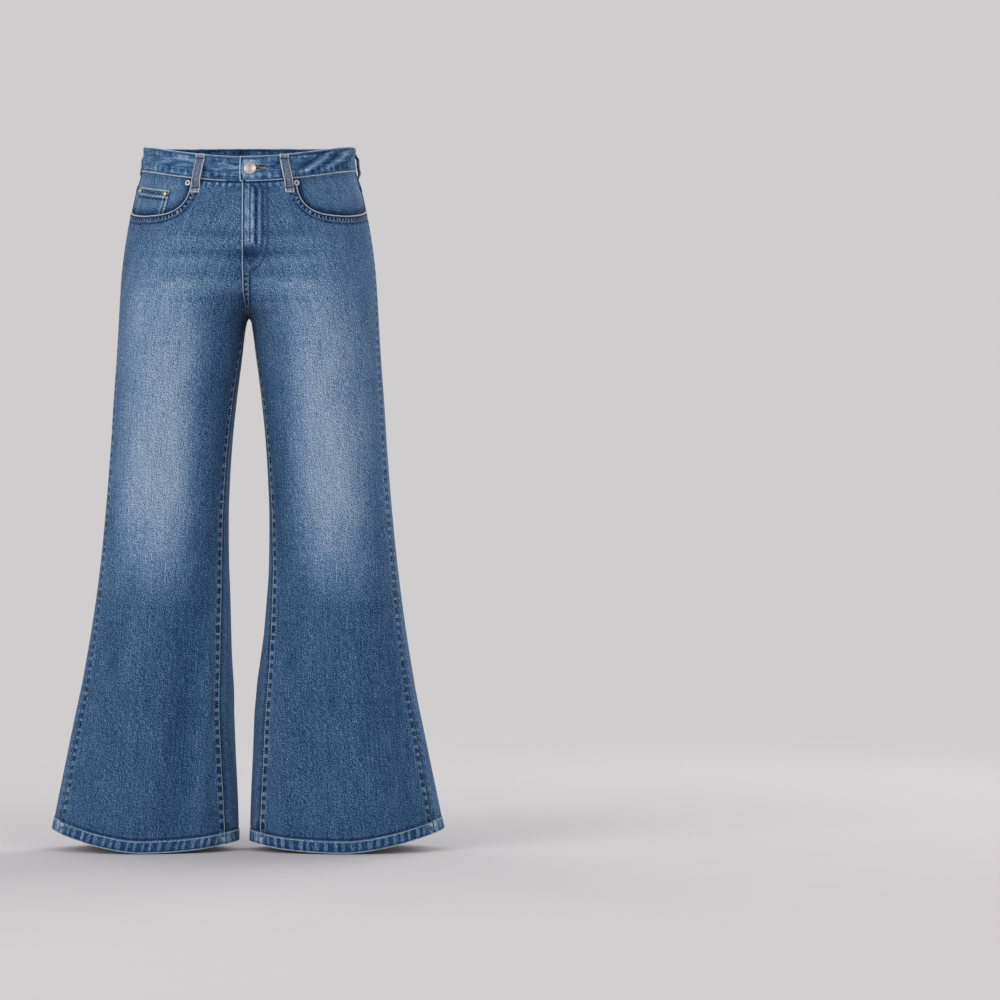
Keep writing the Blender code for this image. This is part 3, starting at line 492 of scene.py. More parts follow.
BACK_FOLDS = {1: (
    (0.045, -0.56, 0.070, -1.02, 0.004, 0.022, -0.0048),
    (-0.045, -0.62, -0.060, -1.02, -0.003, 0.024, 0.0036),
    (0.130, -0.68, 0.150, -1.02, 0.002, 0.018, 0.003),
    (-0.110, -0.72, -0.150, -1.02, 0.003, 0.018, -0.003),
    (-0.050, -0.262, 0.075, -0.250, 0.008, 0.010, -0.0014),
    (-0.040, -0.300, 0.080, -0.276, 0.010, 0.011, -0.0011),
    (-0.070, -0.575, 0.060, -0.600, -0.006, 0.018, -0.0014),
), -1: (
    (0.040, -0.58, 0.060, -1.02, -0.003, 0.020, -0.0044),
    (-0.040, -0.60, -0.052, -1.02, 0.004, 0.022, 0.004),
    (0.125, -0.70, 0.146, -1.02, 0.002, 0.017, 0.0028),
    (-0.115, -0.70, -0.146, -1.02, 0.003, 0.019, -0.0034),
    (-0.045, -0.258, 0.070, -0.248, 0.007, 0.010, -0.0013),
    (-0.060, -0.305, 0.075, -0.280, 0.009, 0.012, -0.0012),
    (-0.060, -0.590, 0.050, -0.585, -0.006, 0.017, -0.0013),
)}
# Whiskers: pale ridges and dark troughs that fan out from the fly and the crotch over the hip
WHISKERS = (
    (0.128, -0.118, -0.050, -0.092, 0.004, 0.005, 0.0008),
    (0.130, -0.128, -0.062, -0.108, 0.004, 0.0045, -0.0009),
    (0.132, -0.140, -0.070, -0.122, 0.005, 0.0055, 0.0009),
    (0.136, -0.153, -0.058, -0.140, 0.005, 0.0045, -0.001),
    (0.140, -0.166, -0.066, -0.154, 0.006, 0.0055, 0.0009),
    (0.142, -0.180, -0.050, -0.174, 0.006, 0.005, -0.001),
    (0.140, -0.194, -0.056, -0.190, 0.006, 0.006, 0.0008),
    (0.136, -0.210, -0.030, -0.214, 0.006, 0.0055, -0.0009),
)
print("creases: %d on the fronts, %d on the backs, %d whiskers a side" % (
    sum(map(len, FRONT_FOLDS.values())), sum(map(len, BACK_FOLDS.values())), len(WHISKERS)))

# %% [markdown]
# ## How the cloth was washed, and its painted shade
# The fades follow the body: long pale patches down the front of the thighs and faint ones under the back
# pockets. A painted shade darkens the inner thigh, and painted shade and light lie across the soft creases of
# the lower legs. A painted map could hold them. As a formula in the garment's own measures they stay in place
# on any mesh.

# %% Fades and painted shade
# Columns: height, strength of the fade down the front and down the back
FADES = np.array([
    (0.040, 0.16, 0.30), (-0.050, 0.14, 0.26), (-0.082, 0.20, 0.24), (-0.113, 0.33, 0.22),
    (-0.144, 0.46, 0.22), (-0.175, 0.60, 0.28), (-0.206, 0.75, 0.38), (-0.235, 0.80, 0.54),
    (-0.268, 0.86, 0.52), (-0.320, 0.92, 0.38), (-0.380, 0.98, 0.22), (-0.450, 1.00, 0.10),
    (-0.495, 1.00, 0.06), (-0.520, 0.88, 0.05), (-0.550, 0.78, 0.04), (-0.580, 0.58, 0.03),
    (-0.612, 0.34, 0.02), (-0.645, 0.10, 0.02), (-0.700, 0.02, 0.02), (-1.010, 0.00, 0.00),
])
# Half widths of the fade towards the outseam and the inseam, and the exponent of each side
FADE_FRONT = (0.082, 0.046, 2.6)
FADE_BACK = (0.075, 0.070, 2.4)
HIP_WIDER_OUT, HIP_WIDER_IN = 0.03, 0.05  # the fade is this much wider at the hip, on either side
# Painted shade at the inner thigh: how much darker it makes the cloth
INNER_THIGH_SHADE = 0.16  # how much darker the cloth stays at the inner thigh
BACK_PALER = 0.08  # the back is this much paler than the front all over
# Uneven places of the fronts and the backs: patches of wash, and painted shade and light across the soft
# creases of the lower legs and behind the crotch. Columns: side, metres from the crease line towards the
# inseam and half width, height and half height, strength
PATCHES_AND_PAINTED_SHADING = {False: (
    (-1, -0.080, 0.040, -0.235, 0.075, 0.28), (-1, 0.052, 0.020, -0.800, 0.220, -0.25),
    (-1, -0.010, 0.030, -0.780, 0.180, 0.06), (-1, 0.092, 0.016, -0.780, 0.220, 0.16),
    (-1, 0.034, 0.014, -0.081, 0.022, 0.18), (-1, 0.082, 0.014, -0.206, 0.018, 0.14),
    (-1, 0.010, 0.040, -0.140, 0.035, -0.10), (-1, 0.028, 0.022, -0.205, 0.030, -0.20),
    (-1, -0.088, 0.025, -0.530, 0.060, -0.16), (-1, -0.060, 0.035, -0.470, 0.060, 0.08),
    (1, 0.098, 0.020, -0.780, 0.200, 0.08), (1, -0.055, 0.030, -0.800, 0.180, -0.07),
    (1, -0.072, 0.026, -0.510, 0.090, -0.30), (1, 0.020, 0.028, -0.132, 0.045, -0.24),
    (1, 0.040, 0.012, -0.081, 0.020, 0.16), (1, 0.082, 0.014, -0.206, 0.018, 0.14),
    (1, 0.020, 0.018, -0.205, 0.025, -0.10), (1, 0.075, 0.020, -0.280, 0.050, 0.12),
), True: (
    (1, 0.085, 0.045, -0.720, 0.250, -0.22), (1, 0.120, 0.060, -0.255, 0.065, -0.24),
    (-1, 0.120, 0.060, -0.255, 0.065, -0.20), (-1, 0.125, 0.030, -0.720, 0.250, -0.16),
    (-1, -0.080, 0.050, -0.130, 0.070, -0.08), (1, -0.060, 0.045, -0.250, 0.060, 0.12),
)}


def washed_and_shaded(height, along, back):
    """Fade at a place: strength at that height times exp(-(distance from the crease / half width)^power).

    A painted shade at the inner thigh is taken off, and the back is made paler.
    """
    from_crease = along - crease_at(height, back)
    outer, inner, power = FADE_BACK if back else FADE_FRONT
    at_hip = ease((height + 0.26) / 0.16)
    half = np.where(from_crease < 0, outer + HIP_WIDER_OUT * at_hip, inner + HIP_WIDER_IN * at_hip)
    wash = smooth_column(FADES, 2 if back else 1, height) * np.exp(-(np.abs(from_crease) / half) ** power)
    inseam = girth(height, back) - along
    # painted shade near the inseam of the thigh
    dark = bump(inseam, 0.030) * ease((-0.16 - height) / 0.06) * ease((height + 0.66) / 0.12)
    return wash - INNER_THIGH_SHADE * dark + (BACK_PALER if back else 0.0)


def patches_and_painted_shading(height, u, back, side):
    """Wash and painted shading of the uneven places: for each row, a bell curve across times a bell curve
    down.
    """
    return sum(strength * bump(u - at, half) * bump(height - z, deep)
               for hand, at, half, z, deep, strength in PATCHES_AND_PAINTED_SHADING[back] if hand == side)


print("fade down the front: %.2f at the hip, %.2f at the thigh, %.2f under the knee" % tuple(
    float(washed_and_shaded(z, crease_at(z, False), False)) for z in (-0.10, -0.40, -0.70)))

# %% [markdown]
# ## Leg panels
# Two fronts and two backs make the legs. Rows of a grid are spaced by the cloth, not by height: at the crotch
# the cloth lies nearly level. Columns are close together near the seams, where the puckers are.

# %% Grid of a leg panel
WAIST_LINE = -0.034  # highest row of the leg panels, before the waistband's curve is added
HEM_BEGINS = -0.600  # below this the rows bend towards the hem's curve
ROW_FINE, ROW_STEP, ROW_REACH = 0.0011, 0.0028, 0.030
COLUMN_FINE, COLUMN_STEP, COLUMN_REACH = 0.0009, 0.0045, 0.024
FRONT_STEP, FRONT_REACH = 0.0036, 0.020
FLY_FINE = 0.030  # how far from the centre a front's columns stay fine
BACK_SPAN = 0.27  # mean width of a back panel, for the spacing of its columns
UNDER_YOKE, UNDER_BAND, TUCKED = 0.0005, -0.0001, 0.0016  # how far the top edges reach under the next piece


def panel_rows(back, top, hem):
    """Heights of a panel's grid, one row for each step of cloth down its edges and middle."""
    z = np.concatenate((np.linspace(HEM_MIDDLE, WAIST_LINE, 900), CROTCH + 4e-6 * np.arange(85) ** 2))
    z = np.unique(z)[::-1]
    whole = girth(z, back)
    run = sum(run_along(on_form(z, along, back)) for along in (0 * z, 0.5 * whole, whole)) / 3
    rows = np.interp(spread(run[-1], ROW_FINE, ROW_STEP, ROW_REACH) * run[-1], run, z)[:, None]
    upper = np.clip((rows - CROTCH) / (WAIST_LINE - CROTCH), 0, 1)
    lower = np.clip((rows - HEM_BEGINS) / (HEM_MIDDLE - HEM_BEGINS), 0, 1)
    return rows + upper * (top - WAIST_LINE) + lower * (hem - HEM_MIDDLE)


def leg_grid(back):
    """Height and metres from the side seam of each point of a panel's grid."""
    if back:
        even = spread(BACK_SPAN, COLUMN_FINE, COLUMN_STEP, COLUMN_REACH)
        heights = panel_rows(True, yoke_height(even) + UNDER_YOKE, hem_height(even, True))
        return heights, panel_along(heights, even, True)
    # The top edge runs from the centre to the pocket, round its corner and on to the side seam
    straight = np.linspace(FRONT_WIDTH, MOUTH_WIDTH, 40)[:-1]
    line = np.concatenate((np.column_stack((straight, front_top(straight))), MOUTH_CURVE))
    run = run_along(line)
    even = spread(run[-1], COLUMN_FINE, FRONT_STEP, FRONT_REACH, wide=FLY_FINE)
    along = np.interp(even * run[-1], run, line[:, 0])
    top = np.interp(even * run[-1], run, line[:, 1]) + UNDER_BAND
    top = top + TUCKED * ease((along - MOUTH_WIDTH) / 0.004)
    heights = panel_rows(False, top, hem_height(even, False))
    settle = np.clip((heights - CROTCH) / (WAIST_LINE - CROTCH), 0, 1)
    share = even + (1 - along / FRONT_WIDTH - even) * np.sqrt(settle)
    return heights, panel_along(heights, share, False)


def weave_uv(height, along, back, side):
    """Place in the cloth's own weave, in metres: across it to the right as seen from outside, and up."""
    u = (along - crease_at(height, back)) * (side if back else -side)
    return np.stack((u, np.broadcast_to(height, u.shape)), axis=-1)


height, along = leg_grid(False)
at_mouth = height[0] < front_top(along[0]) + 0.0003
MOUTH_EDGE = np.column_stack((along[0], height[0]))[at_mouth]  # the front's own edge round the pocket mouth
print("front panel: %d rows of %d points" % height.shape)

# %% [markdown]
# ## What the seams press into a leg
# A worn seam shows dark grooves, pale ridges and short puckers. Each part of a leg panel has a function that
# gives three things at any place: how far it lifts the cloth out of the form, its tone, and the seams that
# pucker it. Its tone also holds painted shadows under the laps, the yoke and the waistband and round the back
# pockets. They could be sculpted, but as functions they also tell the stitches where the cloth lies. Tables
# hold a row for each ridge or groove across an edge. All parts take the same five values, to be summed alike.

# %% Side seams and hem
CLOTH = 0.0011  # thickness of the denim
FAR = 9.0  # added to the distance of a seam where it isn't there
# Out and tone across each edge; tone rows named SHADE are painted shade. Columns: strength, metres from the
# edge, half width
SEAM_OUT = ((0.00055, 0.0045, 0.0038), (-0.001, 0.0, 0.0009))
SEAM_TONE = ((0.45, 0.0018, 0.001), (-1.6, 0.0, 0.0008), (0.35, 0.0105, 0.0014))
INSEAM_SHADE = ((-0.9, 0.002, 0.0013),)
HEM_EDGE_TONE = ((2.3, 0.0, 0.0011), (-0.9, 0.0028, 0.001))
HEM_TOP_TONE = ((0.7, -0.0008, 0.0009), (-1.2, 0.0012, 0.0013))
# How each seam puckers. Columns: pitch, strength, and the distances from the seam between which it puckers
SIDE_PUCKERS = {False: (0.0125, 0.9, 0.0014, 0.0095), True: (0.0125, 0.35, 0.0014, 0.0095)}
INSEAM_PUCKERS = {False: (0.0135, 1.1, 0.0014, 0.0105), True: (0.0135, 0.15, 0.0014, 0.0105)}
HEM_PUCKERS = (0.0122, 0.72, 0.0016, HEM_HEIGHT - 0.002)


def from_hem(height, along, back):
    """Height above the hem's edge, straight below the place."""
    return height - hem_height(1 - along / girth(height, back), back)


def below_crotch(height):
    """1 where the panel ends at the inseam, 0 where it ends at the centre."""
    return ease((CROTCH - height) / 0.01)


def side_seams(height, along, inner, back, side):
    """The outseam all the way down, and the inseam below the crotch."""
    leg = below_crotch(height)
    out = ridges(along, SEAM_OUT) + ridges(inner, SEAM_OUT) * leg
    tone = ridges(along, SEAM_TONE) + ridges(inner, SEAM_TONE) * leg
    if back:
        tone += leg * ridges(inner, INSEAM_SHADE)
    return out, tone, [(along, height, *SIDE_PUCKERS[back]),
                       (inner + FAR * (height > CROTCH), height, *INSEAM_PUCKERS[back])]


def hem(height, along, inner, back, side):
    """Turned-up hem: stitched at its top, pale at its edge, bulky where the seams cross it."""
    up = from_hem(height, along, back)
    above = up - HEM_HEIGHT
    in_hem = ease((0.0006 - above) / 0.0012)
    crossing = bump(along - 0.004, 0.0045) + bump(inner - 0.0045, 0.0055)
    roping = ripple(along + 0.15 * up * side, HEM_PUCKERS[0], 12 + 2 * back + side) * bump(up - 0.009, 0.0085)
    out = in_hem * (0.0006 + 0.0003 * crossing) + 0.0003 * roping - 0.0008 * bump(above - 0.0009, 0.001)
    tone = in_hem * (0.15 + 1.1 * crossing) + ridges(up, HEM_EDGE_TONE) + ridges(above, HEM_TOP_TONE)
    tone -= 0.9 * crossing * bump(above - 0.006, 0.005)
    return out, tone, [(up, along + 0.12 * up * side, *HEM_PUCKERS)]


print("hem: %.1f mm high, turned up twice" % (1000 * HEM_HEIGHT))

# %% [markdown]
# The back panels are felled together at the seat: the left one laps over the right one, and both edges are
# folded into a flat seam about 10 mm wide; the right one is painted darker under the lap, as its shadow. The
# yoke is felled over their top edge, and a painted shadow lies round each pocket.

# %% Seat seam, yoke seam and the painted shadow round a back pocket
SEAT_LAP, SEAT_FELL, FELL_PITCH = 0.0058, 0.0112, 0.006
SEAT_TONE = ((1.6, 0.0003, 0.001), (-0.6, 0.0024, 0.001),
             (1.1, SEAT_FELL - 0.001, 0.001), (-1.1, SEAT_FELL + 0.0012, 0.0013))
SEAT_SHADE = ((-1.2, SEAT_LAP + 0.0006, 0.0014),)
YOKE_SHADE = ((-1.3, 0.0004, 0.0014),)
POCKET_SHADE = ((-1.8, 0.0, 0.0016),)
SEAT_PUCKERS = {1: (FELL_PITCH, 1.0, 0.0022, SEAT_FELL - 0.0014), -1: (0.0105, 0.5, SEAT_LAP + 0.001, 0.013)}
YOKE_PUCKERS = (0.011, 0.6, 0.0018, 0.008)
# Corners of a back pocket: metres along the cloth from the side seam, height
TOP_INNER, TOP_OUTER, FOOT_OUTER, POINT, FOOT_INNER = np.array(
    ((0.2015, -0.084), (0.069, -0.0865), (0.101, -0.204), (0.1555, -0.223), (0.2095, -0.205)))
POCKET_SIDES = np.array((TOP_INNER, FOOT_INNER, POINT, FOOT_OUTER, TOP_OUTER))


def seat(height, along, inner, back, side):
    """The seat seam down the centre back: thick and pale on the left side, which laps over."""
    gone = FAR * (height < CROTCH - 0.004)
    if side < 0:
        out, tone = -0.001 * ease(1 - inner / 0.009), ridges(inner, SEAT_SHADE)
        return out, tone, [(inner + gone, height, *SEAT_PUCKERS[side])]
    edge = inner + SEAT_LAP
    out = 0.0008 * ease((SEAT_FELL - edge) / 0.0015) - 0.0005 * ease(1 - edge / 0.0007)
    return out, ridges(edge, SEAT_TONE), [(edge + gone, height + 0.3 * edge, *SEAT_PUCKERS[side])]


def back_centre(height, along, inner, back, side):
    """The seat seam of a leg panel, which ends at the crotch."""
    out, tone, seams = seat(height, along, inner, back, side)
    centre = 1 - below_crotch(height)
    return centre * out, centre * tone, seams


def under_yoke(height, along, inner, back, side):
    """Top edge of a back panel, pressed down and shaded by the yoke."""
    down = yoke_height(1 - along / (along + inner)) - height
    return -0.0009 * ease(1 - down / 0.005), ridges(down, YOKE_SHADE), [(down, along, *YOKE_PUCKERS)]


def painted_shadow_round_pocket(height, along, inner, back, side):
    """Painted shadow round the back pocket, worked out only near it."""
    tone = np.zeros(height.shape)
    near = (height < TOP_INNER[1] + 0.004) & (height > POINT[1] - 0.008)
    tone[near] = ridges(to_line(along[near], height[near], POCKET_SIDES)[0], POCKET_SHADE)
    return 0 * tone, tone, []


print("back pocket: %.3f m wide at its top, %.3f m deep" % (
    TOP_INNER[0] - TOP_OUTER[0], (TOP_INNER[1] + TOP_OUTER[1]) / 2 - POINT[1]))

# %% [markdown]
# The pocket mouth has a rolled edge, rubbed pale, and a stitched band with short puckers like the rungs of a
# ladder. The waistband's seam shades the top of the front.

# %% Pocket mouth and waistband seam
MOUTH_OUT = ((-0.0003, 0.0022, 0.0008),)
MOUTH_TONE = ((4.4, 0.0, 0.0012), (-1.5, 0.0028, 0.001), (-0.7, 0.006, 0.0036), (0.6, 0.0096, 0.0009),
              (-1.4, 0.0113, 0.0012))
WAIST_TONE = ((0.5, 0.004, 0.0012), (-1.6, 0.001, 0.0015))
MOUTH_PUCKERS = (0.0054, 2.3, 0.0034, 0.0086)
WAIST_PUCKERS = (0.01, 0.7, 0.002, 0.0095)
MOUTH_ROWS = (0.0018, 0.0084)  # the two rows of stitches, by metres from the pocket's edge


def mouth(height, along, inner, back, side):
    """Edge of the front pocket, 0.5 mm proud over its stitched band."""
    near = height > MOUTH_SIDE - 0.05
    d, run = np.full(height.shape, FAR), np.zeros(height.shape)
    d[near], run[near] = to_line(along[near], height[near], MOUTH_EDGE)
    out = 0.0005 * ease(1 - d / 0.010) - 0.0006 * ease(1 - d / 0.0006) + ridges(d, MOUTH_OUT)
    return out, ridges(d, MOUTH_TONE), [(d, run, *MOUTH_PUCKERS)]


def under_band(height, along, inner, back, side):
    """The front's top edge from the pocket to the centre, shaded by the waistband."""
    down = front_top(along) - height
    beyond = along > MOUTH_WIDTH - 0.001
    return 0 * down, beyond * ridges(down, WAIST_TONE), [(down + FAR * ~beyond, along, *WAIST_PUCKERS)]


print("pocket mouth: rows of stitches", [1000 * row for row in MOUTH_ROWS], "mm from its edge")

# %% [markdown]
# The left front laps over the right one down the fly and the centre. The zip, its facing and the shield press
# stripes through the cloth, rubbed pale. A navy patch is left at their foot, and from there to the crotch the
# seam is felled.

# %% Fly and centre front
FRONT_LAP = 0.0018  # how far the left front reaches over the right one
FLY_WIDTH, FLY_END = 0.0385, -0.172
LAP_TONE = ((3.5, 0.0, 0.0011), (-1.2, 0.0026, 0.001))
FELL_TONE = ((0.9, 0.0088, 0.001), (-1.9, 0.0108, 0.0014))
ROW_SHADE = ((-0.9, 0.0, 0.0012),)
CENTRE_SHADE = ((-1.7, 0.0006, 0.002),)
FELL_PUCKERS = (0.0072, 0.9, 0.0026, 0.0088)
CENTRE_PUCKERS = (0.0125, 0.25, 0.002, 0.0095)
# Ridges and grooves that the fly's layers press through. Columns: metres from its edge, half width, tone, out
FLY_RIDGES = ((0.0024, 0.001, -0.7, -0.0002), (0.0054, 0.0026, 0.9, 0.0004), (0.0093, 0.0009, 1.4, 0.0005),
              (0.0113, 0.0008, -0.9, -0.0003), (0.0147, 0.0022, 1.3, 0.0006), (0.02, 0.0019, -1.7, -0.0006),
              (0.025, 0.0017, 0.8, 0.0003), (0.0284, 0.0012, -0.6, -0.0002))
RIDGES_FROM, RIDGES_TO = -0.042, -0.131  # heights between which they show
# The two rows of the fly's J. Columns: metres from the centre front, where the straight part ends, foot
FLY_ROWS = ((0.03, -0.117, -0.155), (0.0365, -0.122, -0.167))


def curve_down(edge, straight, foot):
    """The fly's J: straight down at `edge` from the centre front, then a quarter ellipse in to it."""
    turn = np.linspace(0, np.pi / 2, 60)
    line = np.column_stack((edge * np.cos(turn) ** 0.8, straight + (foot - straight) * np.sin(turn)))
    return np.concatenate((((edge, WAIST_FRONT - BAND_HEIGHT - 0.001),), line[line[:, 0] > 0.0035]))


def stripes(edge, height):
    """Out and tone of the fly's ridges: bell curves across, a slow uneven wave down."""
    worn = ease((height - RIDGES_TO) / 0.007) * ease((RIDGES_FROM - height) / 0.010)
    out = tone = 0 * edge
    for place, half, pale, high in FLY_RIDGES:
        out = out + high * bump(edge - place, half) * worn
        uneven = 0.8 + 0.3 * ripple(height, 0.021, int(place * 1e5))
        tone = tone + pale * bump(edge - place, half) * worn * uneven
    return out, tone


def front_centre(height, along, inner, back, side):
    """The left front's fly and lap, or the right front's edge beneath them."""
    centre = 1 - below_crotch(height)
    shade = -0.55 * bump(inner - 0.010, 0.026) * bump(height + 0.146, 0.020)
    if side < 0:
        out, tone = -0.0008 * centre * ease(1 - inner / 0.005), shade + centre * ridges(inner, CENTRE_SHADE)
        return out, tone, [(inner + FAR * (height < CROTCH), height, *CENTRE_PUCKERS)]
    edge = inner + FRONT_LAP
    out, tone = stripes(edge, height)
    out += centre * (0.0011 * ease(1 - (edge - 0.003) / 0.003) - 0.0005 * ease(1 - edge / 0.0007))
    out += 0.0005 * ease((FLY_WIDTH - edge) / 0.002) * ease((height - FLY_END) / 0.012)
    tone += shade + centre * ridges(edge, LAP_TONE)
    tone -= 0.6 * bump(edge - 0.020, 0.013) * bump(height + 0.049, 0.011)
    by_fly = (edge < FLY_WIDTH + 0.0065) & (height > FLY_END)
    for row in FLY_ROWS:
        tone[by_fly] += ridges(to_line(edge[by_fly], height[by_fly], curve_down(*row))[0], ROW_SHADE)
    navy = ease((0.026 - edge) / 0.010) * ease((-0.128 - height) / 0.006) * ease((height + 0.156) / 0.014)
    felled = ease((-0.165 - height) / 0.012) * centre
    out += 0.0004 * felled * ease((0.0095 - edge) / 0.0015)
    tone += felled * ridges(edge, FELL_TONE) - 0.75 * navy
    return out, tone, [(edge + FAR * (felled < 0.02), height, *FELL_PUCKERS)]


print("fly: %.1f mm wide, with %d ridges and grooves" % (1000 * FLY_WIDTH, len(FLY_RIDGES)))

# %% A whole leg panel
FOLD_GAIN = 1.3  # the creases stand this much higher than their tables say
WHISKER_WEAR = 140  # wash for each metre that a whisker stands out
FRONT_PARTS = (side_seams, hem, mouth, under_band, front_centre)
BACK_PARTS = (side_seams, hem, back_centre, under_yoke, painted_shadow_round_pocket)


def leg_look(height, along, back, side):
    """Metres out of the form, and the four marks, on a leg panel: the sum of its parts."""
    height, along = np.broadcast_arrays(np.asarray(height, float), np.asarray(along, float))
    inner = girth(height, back) - along
    u = along - crease_at(height, back)
    looks = [part(height, along, inner, back, side) for part in (BACK_PARTS if back else FRONT_PARTS)]
    out, tone = (sum(look[k] for look in looks) for k in (0, 1))
    out = out + FOLD_GAIN * folds(u, height, (BACK_FOLDS if back else FRONT_FOLDS)[side])
    # wash with the painted shade of the inner thigh, and patches with painted shading across the creases
    wash = washed_and_shaded(height, along, back) + patches_and_painted_shading(height, u, back, side)
    if not back:
        whisk = folds(u, height, WHISKERS)
        out, wash = out + whisk, wash + WHISKER_WEAR * whisk
    return (out, wash, tone, *puckers(*[seam for look in looks for seam in look[2]]))


print("left front: stands out %.2f to %.2f mm" % tuple(
    1000 * f(leg_look(height, along, False, 1)[0]) for f in (np.min, np.max)))

# %% [markdown]
# ## Denim, thread and metal
# Denim is woven from indigo warp and white weft, and worn denim is pale wherever the indigo is rubbed off. So
# its colour is one number, how worn it is, sent through a colour ramp; painted shade and light move the same
# number. It adds up the wash, the seam tones, the painted shade and shadows that both carry, and four noises
# in the cloth's own UV map: speckle, slubs and streaks down the warp, and mottling. An image of cloth would
# be quicker, but it would stretch and repeat.

# %% Nodes of a material
def node(tree, kind, inputs=None, **settings):
    """One shader node with its settings; each input is a constant or another node's output."""
    item = tree.nodes.new("ShaderNode" + kind)
    for key, value in settings.items():
        setattr(item, key, value)
    for key, value in (inputs or {}).items():
        if isinstance(value, bpy.types.NodeSocket):
            tree.links.new(value, item.inputs[key])
        else:
            item.inputs[key].default_value = value
    return item


def plus(tree, a, b, times=1.0):
    """a + b * times."""
    return node(tree, "Math", {0: b, 1: times, 2: a}, operation="MULTIPLY_ADD").outputs[0]


def times(tree, a, b):
    """a * b."""
    return node(tree, "Math", {0: a, 1: b}, operation="MULTIPLY").outputs[0]


def begin(name, **shader):
    """A new material with a Principled shader and its constants."""
    material = bpy.data.materials.new(name)
    material.use_nodes = True
    tree = material.node_tree
    tree.nodes.clear()
    surface = node(tree, "BsdfPrincipled", {key.replace("_", " "): value for key, value in shader.items()})
    end = node(tree, "OutputMaterial", {"Surface": surface.outputs[0]})
    end.is_active_output = True
    finishes[name] = material
    return tree, surface


def coloured(tree, surface, value, stops):
    """Colour the surface by a value: stops are pairs of a value and its colour."""
    ramp = node(tree, "ValToRGB", {"Fac": value})
    points = ramp.color_ramp.elements
    while len(points) < len(stops):
        points.new(0.5)
    for point, (position, colour) in zip(points, stops):
        point.position, point.color = position, (*colour, 1.0)
    tree.links.new(ramp.outputs[0], surface.inputs["Base Color"])


def rough(tree, surface, height, distance, strength):
    """Bumps on the surface, too small to be in its mesh."""
    relief = node(tree, "Bump", {"Height": height, "Distance": distance, "Strength": strength})
    tree.links.new(relief.outputs[0], surface.inputs["Normal"])


def cloud(tree, scale, detail=2.0, roughness=0.5):
    """Noise in the object's own coordinates."""
    place = node(tree, "TexCoord").outputs["Object"]
    inputs = {"Vector": place, "Scale": scale, "Detail": detail, "Roughness": roughness}
    return node(tree, "TexNoise", inputs).outputs[0]


def cloth_noise(tree, scale, turn=0.0, detail=2.0, roughness=0.55):
    """Noise on the cloth's UV map: cells per metre across and along, turned by some degrees."""
    place = node(tree, "UVMap", uv_map="cloth").outputs[0]
    inputs = {"Vector": place, "Rotation": (0, 0, np.radians(turn))}
    moved = node(tree, "Mapping", inputs, vector_type="POINT")
    wide = node(tree, "Mapping", {"Vector": moved.outputs[0], "Scale": (scale[0], scale[1], scale[0])})
    inputs = {"Vector": wide.outputs[0], "Scale": 1.0, "Detail": detail, "Roughness": roughness}
    return node(tree, "TexNoise", inputs, noise_dimensions="2D").outputs[0]


print("8 helpers for materials")

# %% Denim
# Wear from 0 to 1, with the painted shade added in, and the colour it leaves
INDIGO = ((0.00, (0.004, 0.018, 0.049)), (0.20, (0.018, 0.064, 0.156)), (0.45, (0.057, 0.146, 0.294)),
          (0.57, (0.100, 0.191, 0.333)), (0.70, (0.180, 0.254, 0.352)), (1.00, (0.420, 0.495, 0.555)))
LOOP_DYE = ((0.00, (0.016, 0.026, 0.052)), (0.25, (0.064, 0.088, 0.150)), (0.55, (0.165, 0.205, 0.285)),
            (1.00, (0.460, 0.510, 0.560)))
REVERSE = ((0.00, (0.060, 0.090, 0.150)), (0.50, (0.150, 0.205, 0.290)), (1.00, (0.330, 0.390, 0.450)))
# Tone holds painted shadows as well as worn lines, and both move the wear alike
TONE_GAIN, PUCKER_WEAR = 0.36, 0.30  # wear for each unit of tone, and of a pucker
WAVE_SCALE = 2 * np.pi / 20  # a wave texture's scale for one crest in each unit of phase


def pucker_cells(tree, phase, pull):
    """Puckers: a wave, one crest for each unit of phase, cut into wide dark cells and narrow pale ribs."""
    spot = node(tree, "CombineXYZ", {"X": phase}).outputs[0]
    inputs = {"Vector": spot, "Scale": WAVE_SCALE, "Distortion": 3.8, "Detail": 2.0, "Detail Scale": 2.2}
    wave = node(tree, "TexWave", inputs, wave_type="BANDS", bands_direction="X").outputs["Fac"]
    inputs = {"Value": wave, "From Min": 0.40, "From Max": 0.80, "To Min": -1.0, "To Max": 0.85}
    cells = node(tree, "MapRange", inputs, interpolation_type="SMOOTHSTEP").outputs[0]
    some = node(tree, "TexNoise", {"Vector": spot, "Scale": 0.45, "Detail": 1.0}).outputs[0]
    return times(tree, times(tree, cells, plus(tree, 0.1, some, 1.6)), pull)


def denim(name, colours, start, wash_share=0.5, speckle=2.3, slub=0.75, slub_size=(1100, 110), streak=0.30):
    """Denim whose wear, with its painted shade, is start + share * wash + tone + puckers + noises."""
    tree, surface = begin(
        name, Roughness=0.92, Specular_IOR_Level=0.12, Sheen_Weight=0.04, Sheen_Roughness=0.5)
    wash, tone, phase, pull = (
        node(tree, "Attribute", attribute_name=label).outputs["Fac"] for label in MARKS)
    grain = cloth_noise(tree, (1130, 560), 32, 1.5, 0.6)
    slubs = cloth_noise(tree, slub_size)
    streaks = cloth_noise(tree, (420, 16), 0, 1.0)
    mottling = cloth_noise(tree, (30, 14), 12, 4.0, 0.62)
    cells = pucker_cells(tree, phase, pull)
    wear_and_shade = plus(tree, plus(tree, start, wash, wash_share), tone, TONE_GAIN)
    wear_and_shade = plus(tree, wear_and_shade, cells, PUCKER_WEAR)
    for amount, value in ((speckle, grain), (slub, slubs), (streak, streaks), (0.22, mottling)):
        wear_and_shade = plus(tree, wear_and_shade, plus(tree, -0.5, value), amount)
    coloured(tree, surface, wear_and_shade, colours)
    rough(tree, surface, plus(tree, plus(tree, grain, slubs, 0.6), cells, 0.9), 0.0006, 0.8)


